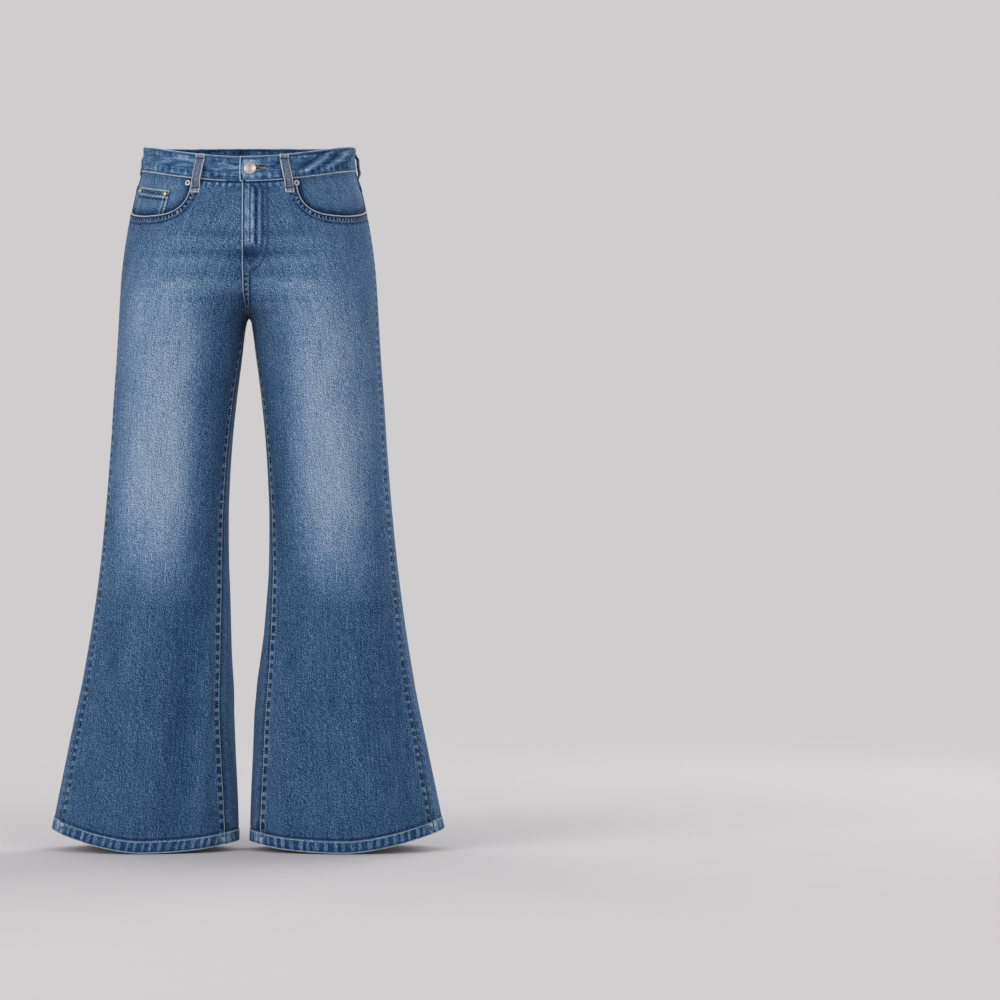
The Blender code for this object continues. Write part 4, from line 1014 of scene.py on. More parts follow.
denim("denim", INDIGO, 0.20)
denim("denim_band", INDIGO, 0.215, slub=0.95, slub_size=(260, 40), speckle=1.9, streak=0.0)
denim("denim_loop", LOOP_DYE, 0.30, speckle=1.2)
denim("denim_facing", INDIGO, 0.30)
denim("denim_inside", REVERSE, 0.42, wash_share=0.2, speckle=1.0)
print("denim:", ", ".join(finishes))


# %% Thread and metal
def thread(name, colour):
    """Spun thread: a slow noise darkens and lightens it, and a fine one roughens it."""
    tree, surface = begin(name, Roughness=0.75, Specular_IOR_Level=0.3, Sheen_Weight=0.1)
    dark, light = (tuple(share * c for c in colour) for share in (0.6, 1.25))
    coloured(tree, surface, cloud(tree, 90.0, 3.0), ((0.3, dark), (0.7, light)))
    rough(tree, surface, cloud(tree, 3500.0), 0.0002, 0.5)


def metal(name, bright, dull, polish):
    """Aged metal: noise mixes two colours, and the dull places are rougher."""
    tree, surface = begin(name, Metallic=1.0, Roughness=polish)
    age = cloud(tree, 420.0, 5.0, 0.65)
    coloured(tree, surface, age, ((0.32, dull), (0.62, bright)))
    inputs = {"Value": age, "From Min": 0.3, "From Max": 0.7, "To Min": polish + 0.2, "To Max": polish}
    tree.links.new(node(tree, "MapRange", inputs).outputs[0], surface.inputs["Roughness"])
    rough(tree, surface, age, 0.0002, 0.4)


thread("thread_pale", (0.50, 0.58, 0.62))
thread("thread_blue", (0.15, 0.20, 0.28))
thread("thread_tan", (0.40, 0.31, 0.20))
thread("thread_brown", (0.105, 0.070, 0.060))
thread("zip_tape", (0.060, 0.075, 0.110))
metal("nickel", (0.55, 0.54, 0.53), (0.31, 0.30, 0.30), 0.36)
metal("copper", (0.70, 0.42, 0.26), (0.36, 0.20, 0.13), 0.34)
metal("brass", (0.72, 0.62, 0.40), (0.42, 0.34, 0.20), 0.34)
metal("dark_metal", (0.10, 0.09, 0.09), (0.04, 0.035, 0.035), 0.45)
print("%d materials" % len(finishes))

# %% [markdown]
# ## From a grid to a finished piece
# Each cloth piece takes the place of a node of the solid model, rides on its body and says what flat size it
# was cut to. That size is measured on the grid: its longest row and its longest column.

# %% Registering a piece
SIDES = ((1, "left"), (-1, "right"))


def lengths(grid):
    """Longest row, longest column and area of a grid of points."""
    a, b = grid[1:, 1:] - grid[:-1, :-1], grid[1:, :-1] - grid[:-1, 1:]
    wide, long = run_along(grid)[:, -1].max(), run_along(grid.swapaxes(0, 1))[:, -1].max()
    return wide, long, 0.5 * np.linalg.norm(np.cross(a, b), axis=-1).sum()


def register(piece, name, grid):
    """The piece stands for the node of that name, and declares its cut."""
    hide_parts(name)
    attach(piece, "root")
    wide, long, area = lengths(grid)
    print("%-22s %6d triangles, cut %.3f x %.3f m, %.4f m2" % (
        piece.name, sum(len(p.vertices) - 2 for p in piece.data.polygons), wide, long, area))


def cloth(name, height, along, back, side, look, thick=CLOTH, slot="denim",
          materials=("denim", "denim_inside"), held="hung", rests_on=("waistband",), turned_up=None):
    """Wall of cloth over the form: look = out and the marks at each point of the grid."""
    out, *marks = look
    outer = skin(height, along, back, out, side)
    inner = skin(height, along, back, out - thick, side)
    weave = weave_uv(height, along, back, side)
    piece = wall(name + "_cloth", outer, inner, weave, marks, materials, turned_up)
    register(piece, name, outer)


# %% The four leg panels
HEM_LAYERS = 1.3  # the turned-up hem adds this many thicknesses of cloth


def leg(name, back, side):
    """One leg panel; the left ones lap over the right ones at the centre."""
    height, along = leg_grid(back)
    whole = girth(height, back)
    if side > 0:
        lap = (SEAT_LAP if back else FRONT_LAP) * ease((height - CROTCH) / 0.012)
        along = along + lap * ease(1 - (whole - along) / 0.03)
    below_top = HEM_HEIGHT - from_hem(height, along, back)
    thick = CLOTH * (1 + HEM_LAYERS * ease(below_top / 0.001))
    look = leg_look(height, along, back, side)
    cloth(name, height, along, back, side, look, thick, turned_up=below_top > 0)


for side, hand in SIDES:
    leg("front_" + hand, False, side)
    leg("back_" + hand, True, side)

# %% [markdown]
# ## Yokes
# The yoke is the shaped strip between the waistband and the back of the leg. It is felled over the leg, so
# its lower edge is thick, pale and puckered, with two rows of stitches.

# %% Yokes
YOKE_LAP, YOKE_FELL = 0.0045, 0.0112
YOKE_LAYERS = 1.3  # thickness of the yoke with its turnings, in thicknesses of cloth
YOKE_TONE = ((2.0, 0.0002, 0.0011), (-0.7, 0.0024, 0.001),
             (1.2, YOKE_FELL - 0.0008, 0.001), (-1.1, YOKE_FELL + 0.0012, 0.0013))
YOKE_SIDE_PUCKERS = (0.0125, 0.5, 0.0014, 0.0095)
YOKE_FELL_PUCKERS = (FELL_PITCH, 1.0, 0.0024, YOKE_FELL - 0.0012)


def yoke_look(height, along, side):
    """Out and marks of a yoke: its felled lower edge, its side seam and the seat seam."""
    whole = girth(height, True)
    low = height - yoke_height(1 - along / whole) + YOKE_LAP
    seat_out, seat_tone, seat_seams = seat(height, along, whole - along, True, side)
    out = 0.0008 * ease((YOKE_FELL - low) / 0.0014) - 0.0005 * ease(1 - low / 0.0007)
    out, tone = out + ridges(along, SEAM_OUT), ridges(along, SEAM_TONE) + ridges(low, YOKE_TONE)
    seams = [(low, along, *YOKE_FELL_PUCKERS), (along, height, *YOKE_SIDE_PUCKERS)] + seat_seams
    return (out + seat_out, washed_and_shaded(height, along, True), tone + seat_tone, *puckers(*seams))


def yoke(name, side):
    """Yoke from under the waistband to its felled edge; the left one laps over the right."""
    even = spread(0.25, COLUMN_FINE, 0.003, COLUMN_REACH)
    top = waist_height(even, True) - BAND_HEIGHT + 0.0015
    down = spread(0.07, 0.0016, 0.0018, 0.02, first=False)[:, None]
    height = top + down * (yoke_height(even) - YOKE_LAP - top)
    along = panel_along(height, even, True)
    if side > 0:
        along = along + SEAT_LAP * ease(1 - (girth(height, True) - along) / 0.03)
    cloth(name, height, along, True, side, yoke_look(height, along, side), CLOTH * YOKE_LAYERS)


for side, hand in SIDES:
    yoke("yoke_" + hand, side)

# %% [markdown]
# ## Waistband
# The band is one strip folded along its top edge, which has worn pale. Small puckers stand along its lower
# edge. Its warp runs round the waist, so the slubs lie level. The grid goes round from the left end, at the
# button, to the right end hidden beneath.

# %% Sizes of the waistband
BAND_PROUD, BAND_WALL, BAND_ROUND, BAND_STEP = 0.0008, 0.003, 0.0013, 0.0016
BAND_END, BAND_OVERLAP, END_ZONE = 0.0045, 0.036, 0.034  # past the centre front, at its left and right end
SINK_FROM, SINK_TO = 0.16, 0.01  # shares of the right front between which it sinks under the left
BAND_BOW, END_FADE = 0.0012, 0.02  # how far the left end bows out, and over what run the bow fades
BUTTON_X, BUTTON_RADIUS = 0.0096, 0.0092
HOLE_FROM, HOLE_TO = BUTTON_X + 0.003, 0.03  # buttonhole's slit, from the centre front
BAND_FRONT, BAND_BACK = girth(WAIST_FRONT, False), girth(WAIST_BACK, True)
BAND_TOP_TONE = ((2.4, 0.0, 0.0011), (-0.7, 0.0032, 0.0013))
BAND_FOOT_TONE = ((2.0, 0.0004, 0.001), (-0.8, 0.0026, 0.0012))
BAND_END_TONE = ((3.0, 0.0, 0.0013), (-1.3, 0.003, 0.0011))
BAND_PITCH, BAND_BEHIND_PITCH, BAND_CELLS = 0.0105, 0.0088, 0.0112
BAND_CREASE_TONE = 2100  # tone for each metre that a crease stands out
BAND_BEHIND = -0.55  # tone added to its inner face
# Creases that fan up from the belt loops. Rows as in folds(), by the run from the left end and the height up
BAND_FOLDS = (
    (0.072, 0.009, 0.128, 0.036, 0.002, 0.0026, -0.0005), (0.08, 0.005, 0.142, 0.034, 0.002, 0.0026, 0.0005),
    (0.094, 0.004, 0.16, 0.033, 0.002, 0.0027, -0.0005), (0.112, 0.005, 0.182, 0.032, 0.002, 0.0026, 0.0004),
    (0.034, 0.008, 0.058, 0.03, 0.001, 0.0028, -0.0003), (0.134, 0.006, 0.205, 0.029, 0.002, 0.003, -0.0004),
    (0.842, 0.024, 0.8, 0.028, -0.002, 0.0024, -0.0004), (0.836, 0.018, 0.78, 0.021, 0.002, 0.0024, 0.0003),
    (0.79, 0.014, 0.742, 0.018, -0.002, 0.0028, -0.0003), (0.77, 0.024, 0.72, 0.027, 0.002, 0.0026, 0.0003),
    (0.7, 0.01, 0.735, 0.024, 0.002, 0.003, -0.0003),
)
print("waistband: %.3f m from side to side in front, %.3f m behind" % (2 * BAND_FRONT, 2 * BAND_BACK))


# %% Relief of the waistband
def folded_over(down):
    """How far the band draws in towards its folded top edge: a quarter circle."""
    rounded = np.clip(1 - down / BAND_ROUND, 0, 1)
    return BAND_ROUND * (1 - np.sqrt(1 - rounded ** 2))


def band_end_look(run, up):
    """Out and tone of the left end: folded edge, buttonhole's slit and wear round the button.

    The slit is painted dark, and a painted shade lies round it.
    """
    x, level = run - BAND_END, up - BAND_HEIGHT / 2
    from_hole = ease((x - HOLE_FROM) / 0.001)
    slit = bump(level, 0.0009) * from_hole * ease((HOLE_TO - x) / 0.001)
    shade = bump(level, 0.0036) * from_hole * ease((HOLE_TO + 0.003 - x) / 0.004)
    worn = bump(np.hypot(x - BUTTON_X, level) - BUTTON_RADIUS - 0.0016, 0.0024)
    out = -0.0008 * np.clip(1 - run / 0.0012, 0, 1) ** 2 - 0.0015 * slit
    # painted shade: a dark slit and a dark band round the buttonhole
    return out, ridges(run, BAND_END_TONE), worn, 0.8 * worn - 3.0 * slit - 1.5 * shade


def band_look(run, up, at_end):
    """Out and tone of the outer face, run metres from its left end and up from its lower edge."""
    down = BAND_HEIGHT - up
    crease = folds(run, up, BAND_FOLDS)
    foot = np.clip(1 - up / 0.0009, 0, 1)
    out = 0.00035 * ripple(run, BAND_PITCH, 81) * bump(up - 0.008, 0.005) + crease - folded_over(down)
    out -= 0.0006 * foot ** 2 + 0.0004 * bump(up - 0.0032, 0.0009)
    tone = ridges(down, BAND_TOP_TONE) + ridges(up, BAND_FOOT_TONE) + BAND_CREASE_TONE * crease
    if at_end:
        end_out, end_tone, worn, spots = band_end_look(run, up)
        out, tone = out + end_out, (tone + end_tone) * (1 - 0.5 * worn) + spots
    return out, tone


def band_puckers(run, up):
    """Phase and pull of the puckers: low on the band, and weaker under its top edge."""
    low, high = bump(up - 0.0078, 0.004), bump(BAND_HEIGHT - up - 0.0065, 0.0035)
    return run / BAND_CELLS, 0.62 * low + 0.35 * high


def band_spot(share, up, back, side, out):
    """Place on the band: share 0 at the centre and 1 at the side, below 0 past the centre.

    The left end is a little bowed, as a parabola over the band's height, and the bow fades along the band.
    The right front sinks by the band's own thickness towards the centre, to pass under the left end.
    """
    share = np.asarray(share, float)
    if side < 0 and not back:
        out = out - ease((SINK_FROM - share) / (SINK_FROM - SINK_TO)) * (BAND_WALL + 0.0004)
    if side > 0 and not back:
        level = up / BAND_HEIGHT
        fade = ease(1 - (share * BAND_FRONT + BAND_END) / END_FADE)
        share = share - BAND_BOW / BAND_FRONT * 4 * level * (1 - level) * fade
    height = waist_height(np.abs(share), back) - BAND_HEIGHT + up
    return skin(height, (1 - share) * girth(height, back), back, BAND_PROUD + out, side)


# %% The waistband, a quarter at a time
def band_strip(length, first, last):
    """Shares of one quarter of the band's columns, from share `first` to share `last`."""
    count = int(round(abs(last - first) * length / BAND_STEP))
    return first + (last - first) * np.linspace(0, 1, count + 1)


by_end = np.concatenate((np.linspace(-BAND_END, -0.0005, 7), np.linspace(-0.0005, END_ZONE, 44)[1:]))
by_end = by_end / BAND_FRONT
# Each part of the band: shares of its columns, whether it is behind, its side
quarters = [(by_end, False, 1), (band_strip(BAND_FRONT, by_end[-1], 1), False, 1),
            (band_strip(BAND_BACK, 1, 0), True, 1), (band_strip(BAND_BACK, 0, 1), True, -1),
            (band_strip(BAND_FRONT, 1, -BAND_OVERLAP / BAND_FRONT), False, -1)]
QUARTERS, start = [], 0.0
for share, back, side in quarters:
    run = start + np.abs(share - share[0]) * (BAND_BACK if back else BAND_FRONT)
    QUARTERS.append((share, run, back, side, start == 0))
    start = run[-1]

up = BAND_HEIGHT * spread(BAND_HEIGHT, 0.0004, 0.0015, 0.005)[:, None]
parts = []
for share, run, back, side, first in QUARTERS:
    keep = slice(None) if first else slice(1, None)
    share, run, level = (np.broadcast_arrays(share[keep], run[keep], up))
    length = BAND_BACK if back else BAND_FRONT
    out, tone = band_look(run, level, first)
    behind = folded_over(BAND_HEIGHT - level) - BAND_WALL
    behind = behind + 0.0003 * ripple(run, BAND_BEHIND_PITCH, 81) * bump(level - 0.008, 0.006)
    wash = washed_and_shaded(waist_height(np.abs(share), back), (1 - np.abs(share)) * length, back)
    if not back:
        wash = wash + (0.10 if side > 0 else 0.22) * ease((share - 0.1) / 0.3)
        wash = wash + 0.25 * bump(share * length, 0.028)
    parts.append((band_spot(share, level, back, side, out), band_spot(share, level, back, side, behind),
                  run, level, wash, tone, *band_puckers(run, level)))
outer, inner, run, level, *marks = (np.concatenate(group, axis=1) for group in zip(*parts))
weave = np.stack((level, run), axis=-1)
band = wall("waistband_cloth", outer, inner, weave, marks, ("denim_band",), behind=BAND_BEHIND)
register(band, "waistband", outer)
print("waistband: %.3f m round" % run.max())

# %% [markdown]
# ## Behind the pocket mouths
# A facing shows behind each pocket mouth, and on the wearer's right a coin pocket lies on it. They reach
# under the front, to close the view into the pocket from every side.

# %% Pocket facings
UNDER_FRONT = 0.0023  # how far the left facing lies under the form
FACING_LAP, FACING_LOWER = 0.016, 0.0019
FACING_EDGE_SHADE = ((-1.9, 0.0, 0.0055), (-0.6, 0.0, 0.014))
# Under the facing's top edge: a pale line, and a painted shadow of the waistband above it
FACING_TOP_TONE_AND_SHADOW = ((0.9, 0.0022, 0.0011), (-1.2, 0.0, 0.0016), (-0.5, 0.0, 0.007))
FACING_SIDE_TONE = ((1.0, 0.004, 0.0015), (-1.0, 0.0015, 0.0012))


def facing(name, side, depth, paler):
    """Cloth behind a pocket mouth, from under the waistband to 16 mm past the mouth's edge."""
    reach = MOUTH_WIDTH + FACING_LAP
    along = reach * (1 - spread(reach, 0.0018, 0.003, 0.02))
    top = front_top(along) + 0.0012
    low = np.minimum(mouth_height(along, reach, FACING_LAP), top - FACING_LAP)
    height = top + np.linspace(0, 1, 44)[:, None] * (low - top)
    along = along + 0 * height
    d, _ = to_line(along, height, MOUTH_EDGE)
    # painted shade near the mouth's edge, and painted shadow under the waistband
    tone = ridges(d, FACING_EDGE_SHADE) + ridges(top - height, FACING_TOP_TONE_AND_SHADOW)
    tone += ridges(along, FACING_SIDE_TONE)
    out = -depth + 0.0004 * ripple(along + 0.4 * height, 0.031, 90 + side) * ease(d / 0.02)
    out += (depth - 0.001) * ease(1 - along / 0.012)
    look = (out, washed_and_shaded(height, along, False) + paler, tone, 0 * d, 0 * d)
    cloth(name, height, along, False, side, look, slot="denim_facing",
          materials=("denim_facing", "denim_inside"))


facing("pocket_facing_left", 1, UNDER_FRONT, 0.02)
facing("pocket_facing_right", -1, UNDER_FRONT + FACING_LOWER, 0.10)

# %% Coin pocket
COIN_OUTER, COIN_INNER = 0.031, 0.104  # its side edges, by metres from the side seam
COIN_TOP_OUTER, COIN_TOP_INNER = -0.04, -0.05
COIN_LAP = 0.010  # how far it reaches under the front
COIN_OUT = 0.0011 - UNDER_FRONT
# Coin pocket's top: pale edges and rows, a dark band between them, and a painted shadow under its hem band
COIN_TOP_TONE_AND_SHADOW = ((3.0, 0.0, 0.0011), (-0.8, 0.0022, 0.001), (1.8, 0.0104, 0.001), (-1.6, 0.013, 0.002),
                 (-1.5, 0.006, 0.003))
COIN_EDGE_TONE = ((2.4, 0.0, 0.001), (-1.0, 0.0022, 0.001), (1.3, 0.008, 0.001))
COIN_MOUTH_SHADE = ((-1.9, 0.0, 0.007),)
COIN_PUCKERS = (0.0052, 2.2, 0.0024, 0.0092)


def coin_top(along):
    """Height of the coin pocket's top edge."""
    return np.interp(along, (COIN_OUTER, COIN_INNER), (COIN_TOP_OUTER, COIN_TOP_INNER))


def coin_look(height, along):
    """Out and marks of the coin pocket: a doubled hem at its top, and turned side edges."""
    down, edge = coin_top(along) - height, np.minimum(along - COIN_OUTER, COIN_INNER - along)
    d, _ = to_line(along, height, MOUTH_EDGE)
    out = COIN_OUT + 0.0006 * ease((0.0105 - down) / 0.001) - 0.0006 * ease(1 - down / 0.0006)
    out -= 0.0005 * ease(1 - edge / 0.0006)
    # tone with painted shadow under the hem band and painted shade by the pocket mouth
    tone = ridges(down, COIN_TOP_TONE_AND_SHADOW) + ridges(edge, COIN_EDGE_TONE) + ridges(d, COIN_MOUTH_SHADE)
    return (out, 0.10 + 0.1 * bump(down, 0.012), tone, *puckers((down, along + 0.8 * down, *COIN_PUCKERS)))


along = COIN_OUTER + (COIN_INNER - COIN_OUTER) * spread(0.073, 0.0007, 0.002, 0.010)
top = coin_top(along)
down = spread(0.055, 0.0007, 0.0018, 0.012, last=False)[:, None]
height = top + down * (mouth_height(along) - COIN_LAP - top)
along = along + 0 * height
cloth("coin_pocket", height, along, False, -1, coin_look(height, along), held="laid",
      materials=("denim_facing", "denim_inside"), rests_on=("pocket_facing_right",))

# %% [markdown]
# ## Behind the fly
# Behind the left front's edge are a facing, the closed zip and a shield. They show only when the waist is
# looked into. Each is a strip with one curved edge.

# %% Fly facing, zip and shield
ZIP_END, ZIP_SIDES, SHIELD_SIDE = -0.150, (-0.006, 0.022), -0.008
FLY_STRAIGHT, FLY_FOOT = -0.137, 0.2  # where the free edge begins to draw in, and the width left
ZIP_LOWER, SHIELD_LOWER = 0.0021, 0.0041  # how far they lie under the facing
ZIP_WALL, SHIELD_WALL = 0.0007, 0.0022


def behind_fly(name, x_from, x_to, low, lower, thick, curved=True, **how):
    """Strip behind the fly, whose free edge is a quarter ellipse at its foot."""
    top = WAIST_FRONT - BAND_HEIGHT + 0.0012
    height = top + np.linspace(0, 1, 56)[:, None] * (low - top)
    turn = np.clip((FLY_STRAIGHT - height) / (FLY_STRAIGHT - low), 0, 1) if curved else 0 * height
    left = FLY_FOOT + (1 - FLY_FOOT) * np.sqrt(1 - turn ** 2)
    x = x_from + np.linspace(0, 1, 18) * (x_to - x_from) * left
    height = height + 0 * x
    look = (-UNDER_FRONT - lower + 0 * height, 0.1, 0.8 * bump(x_to - x, 0.0012), 0.0, 0.0)
    cloth(name, height, girth(height, False) - x, False, 1, look, thick, **how)


behind_fly("fly_facing", 0.0004, FLY_WIDTH, FLY_END, 0.0, CLOTH)
behind_fly("fly_zip", *ZIP_SIDES, ZIP_END, ZIP_LOWER, ZIP_WALL, False, materials=("zip_tape",), slot="zip")
behind_fly("fly_shield", SHIELD_SIDE, FLY_WIDTH, FLY_END, SHIELD_LOWER, SHIELD_WALL)

# %% [markdown]
# ## Back pockets
# Each is a patch sewn on round three sides. Its edges are turned under, so they are twice as thick and wear
# pale. The pocket takes the leg's own creases, so that it lies on the leg everywhere.

# %% Back pockets
POCKET_HEM, POCKET_FELL = 0.0115, 0.01
POCKET_PALER = 0.06
POCKET_SIDE_TONE = ((2.4, 0.0, 0.001), (-1.1, 0.0022, 0.001),
                    (1.7, POCKET_FELL - 0.0008, 0.001), (-1.3, POCKET_FELL + 0.0012, 0.0013))
POCKET_TOP_TONE = ((2.6, 0.0, 0.0011), (2.0, POCKET_HEM - 0.0009, 0.001), (-1.7, POCKET_HEM + 0.0014, 0.0014))
POCKET_SIDE_PUCKERS = (0.0088, 1.0, 0.0024, 0.0084)
POCKET_TOP_PUCKERS = (0.0058, 1.1, 0.0026, POCKET_HEM - 0.002)


def pocket_look(height, along, side):
    """Out and marks of a back pocket on top of the leg panel below it."""
    below, wash, *_ = leg_look(height, along, True, side)
    d, run = to_line(along, height, POCKET_SIDES)
    slope = (TOP_INNER[1] - TOP_OUTER[1]) / (TOP_INNER[0] - TOP_OUTER[0])
    down = TOP_OUTER[1] + (along - TOP_OUTER[0]) * slope - height
    out = below + 0.0004 + CLOTH - 0.0006 * ease(1 - np.minimum(d, down) / 0.0007)
    out += 0.0007 * ease((POCKET_FELL - d) / 0.0015) + 0.0006 * ease((POCKET_HEM - down) / 0.0013)
    tone = ridges(d, POCKET_SIDE_TONE) + ridges(down, POCKET_TOP_TONE)
    return (out, wash + POCKET_PALER, tone,
            *puckers((d, run, *POCKET_SIDE_PUCKERS), (down, along, *POCKET_TOP_PUCKERS)))


def back_pocket(name, side):
    """Grid across and down the patch; its foot row runs along both sides of the point."""
    even = spread(0.13, 0.0007, 0.0026, 0.016)
    tip = (POINT[0] - FOOT_INNER[0]) / (FOOT_OUTER[0] - FOOT_INNER[0])
    across = np.unique(np.append(even, tip))[:, None]
    top = TOP_INNER + across * (TOP_OUTER - TOP_INNER)
    foot = np.where(across <= tip, FOOT_INNER + across / tip * (POINT - FOOT_INNER),
                    FOOT_OUTER + (1 - across) / (1 - tip) * (POINT - FOOT_OUTER))
    spots = top + even[:, None, None] * (foot - top)
    along, height = spots[..., 0], spots[..., 1]
    cloth(name, height, along, True, side, pocket_look(height, along, side), held="laid",
          rests_on=(name.replace("pocket_", ""),))


for side, hand in SIDES:
    back_pocket("back_pocket_" + hand, side)

# %% [markdown]
# ## Belt loops
# A loop is a folded strip with a row of stitches near each edge. It is sewn at the top of the band and just
# below it. Between, it arches clear of the band, so a belt fits through.

# %% Path of a belt loop
LOOP_WIDTH, LOOP_WALL, LOOP_ARCH, LOOP_END, LOOP_SHOULDER = 0.0126, 0.0018, 0.0055, 0.007, 0.2
# Columns: name, X at the top, X at the foot, whether it is on the front, height of the foot
LOOPS = (("belt_loop_front_left", 0.0565, 0.066, True, -0.0545),
         ("belt_loop_front_right", -0.0605, -0.0685, True, -0.0545),
         ("belt_loop_side_left", 0.1487, 0.1565, False, -0.035),
         ("belt_loop_side_right", -0.1487, -0.1565, False, -0.035),
         ("belt_loop_back", 0.0, 0.0, False, -0.024))


def along_at(x, height, back):
    """Metres from the side seam where the form's ring at that height reaches X."""
    table = np.linspace(0.02, 1, 400) * girth(height, back)
    reach = on_form(height, table, back)[:, 0]
    return np.interp(-x, -reach, table)


def loop_frame(x_top, x_foot, front, foot, down):
    """Spots down the middle of a loop, their normals, the direction across and how far each stands out."""
    start = along_at(abs(x_top), (WAIST_SIDE + WAIST_FRONT) / 2, not front)
    end = along_at(abs(x_foot), foot, not front)
    top = waist_height(1 - start / girth(WAIST_SIDE, not front), not front) - 0.0003
    length = top - foot
    flat = LOOP_END / length
    along, height = start + down * (end - start), top - down * length
    arch = np.clip((down - flat) / LOOP_SHOULDER, 0, 1) * np.clip((1 - flat - down) / LOOP_SHOULDER, 0, 1)
    seat_out = BAND_PROUD * ease((0.75 - down) / 0.15) + 0.0004
    rise = seat_out + (LOOP_ARCH + BAND_PROUD - seat_out) * ease(arch)
    spot, normal = on_form(height, along, not front), outward(height, along, not front)
    if x_top == 0:
        spot[:, 0], normal[:, 0] = 0.0, 0.0
        normal = unit(normal)
    spot, normal = spot * mirrored(np.sign(x_top) or 1), normal * mirrored(np.sign(x_top) or 1)
    return spot, normal, unit(np.cross(normal, (0, 0, 1))), rise, length


# %% Belt loops
LOOP_EDGE_OUT = ((0.00035, 0.0012, 0.0009), (-0.00035, 0.0024, 0.0006))
LOOP_EDGE_SHADE = ((-1.1, 0.0026, 0.0007),)
LOOP_END_TONE = ((1.3, 0.0, 0.001), (-1.6, 0.0066, 0.0009))
LOOP_PALE = {True: 1.9, False: 0.3}  # tone of the edges; only loops near the middle are rubbed
LOOP_WASH = 0.2


def belt_loop(name, x_top, x_foot, front, foot):
    """Strip along the loop's path, thicker at its folded edges and its sewn ends."""
    down = spread(0.07, 0.0006, 0.0011, 0.006)
    spot, normal, sideways, rise, length = loop_frame(x_top, x_foot, front, foot, down)
    spot, normal, sideways, rise, down = (a[:, None] for a in (spot, normal, sideways, rise, down))
    across = (spread(LOOP_WIDTH, 0.0003, 0.0009, 0.002) - 0.5) * LOOP_WIDTH
    edge = LOOP_WIDTH / 2 - np.abs(across) + 0 * down
    end = np.minimum(down, 1 - down) * length + 0 * edge
    ridge = ridges(edge, LOOP_EDGE_OUT) - 0.0006 * ease(1 - edge / 0.0007)
    ridge += 0.0006 * ease((0.0058 - end) / 0.001) - 0.0005 * ease(1 - end / 0.0006)
    grid = spot + across[:, None] * sideways
    outer = grid + normal * (rise + LOOP_WALL + ridge)[..., None]
    inner = grid + normal * (rise + 0.0004 * ease(1 - edge / 0.0009))[..., None]
    tone = LOOP_PALE[abs(x_top) < 0.1] * bump(edge, 0.0011) + ridges(edge, LOOP_EDGE_SHADE)
    tone += ridges(end, LOOP_END_TONE) + 0.6 * ease((0.0055 - end) / 0.001)
    tone += 0.35 * ripple(down * length + 0.8 * across, 0.0034, 111)
    weave = np.stack((across + 0 * tone, -down * length + 0 * tone), axis=-1)
    piece = wall(name + "_cloth", outer, inner, weave, (LOOP_WASH, tone, 0.0, 0.0), ("denim_loop",))
    register(piece, name, outer)


for row in LOOPS:
    belt_loop(*row)

# %% [markdown]
# ## Stitches
# Each stitch is a short plump capsule that dives into the cloth at both ends. Thousands of objects would be
# slow, so all stitches of one colour are one mesh, worked out at once from two arrays: where each stitch
# begins and where it ends.

# %% Stitches along a path
sewn = {}


def sew(colour, a, b, normal, radius):
    """Keep stitches from points a to points b, on a surface with these normals."""
    sewn.setdefault(colour, []).append((a, b, unit(normal), np.full(len(a), radius)))


def sampled(places, run, line):
    """Points of a line at the given distances along it, by straight interpolation."""
    return np.column_stack([np.interp(places, run, column) for column in line.T])


def stitch_row(spots, normals, colour="thread_blue", pitch=0.0033, long=0.0025, radius=0.00042, lean=0.2):
    """Stitches end to end along a line. Lean turns each one a little, as twisted thread lies."""
    run = run_along(spots)
    middle = np.arange(pitch / 2, run[-1], pitch)
    a, b = sampled(middle - long / 2, run, spots), sampled(middle + long / 2, run, spots)
    normal = sampled(middle, run, normals)
    across = unit(np.cross(unit(normal), unit(b - a))) * lean * long / 2
    sew(colour, a - across, b + across, normal, radius)


def bar_tack(spots, normals, colour="thread_brown", wide=0.0022, pitch=0.00062, radius=0.00036):
    """Close stitches laid across a short line: a bar tack, or the edge of a buttonhole."""
    run = run_along(spots)
    middle = np.arange(pitch / 2, run[-1], pitch)
    centre, normal, along = (sampled(middle, run, line) for line in
                             (spots, normals, np.gradient(spots, run, axis=0)))
    across = unit(np.cross(unit(normal), unit(along))) * wide / 2
    sew(colour, centre - across, centre + across, normal, radius)


# %% Capsules of thread
RING_POINTS = 5
# Rings of a stitch. Columns: place along it, from -1 to 1, height above the cloth and width, in radii
STITCH_RINGS = ((-0.66, 0.15, 0.82), (0.0, 0.55, 1.0), (0.66, 0.15, 0.82))
STITCH_FLAT, STITCH_DIVE = 0.8, 0.9  # its section's height over its width, its ends' depth in radii


def capsule_faces():
    """Triangles of one stitch: a fan at each pole and two strips between its three rings."""
    k, n = np.arange(RING_POINTS), (np.arange(RING_POINTS) + 1) % RING_POINTS
    last = 1 + RING_POINTS * len(STITCH_RINGS)
    fans = [np.stack((0 * k, 1 + n, 1 + k), -1), np.stack((0 * k + last, last - RING_POINTS + k,
                                                           last - RING_POINTS + n), -1)]
    strips = []
    for s in range(1, last - RING_POINTS, RING_POINTS):
        strips += [np.stack((s + k, s + n, s + RING_POINTS + n), -1),
                   np.stack((s + k, s + RING_POINTS + n, s + RING_POINTS + k), -1)]
    return np.concatenate(fans + strips)


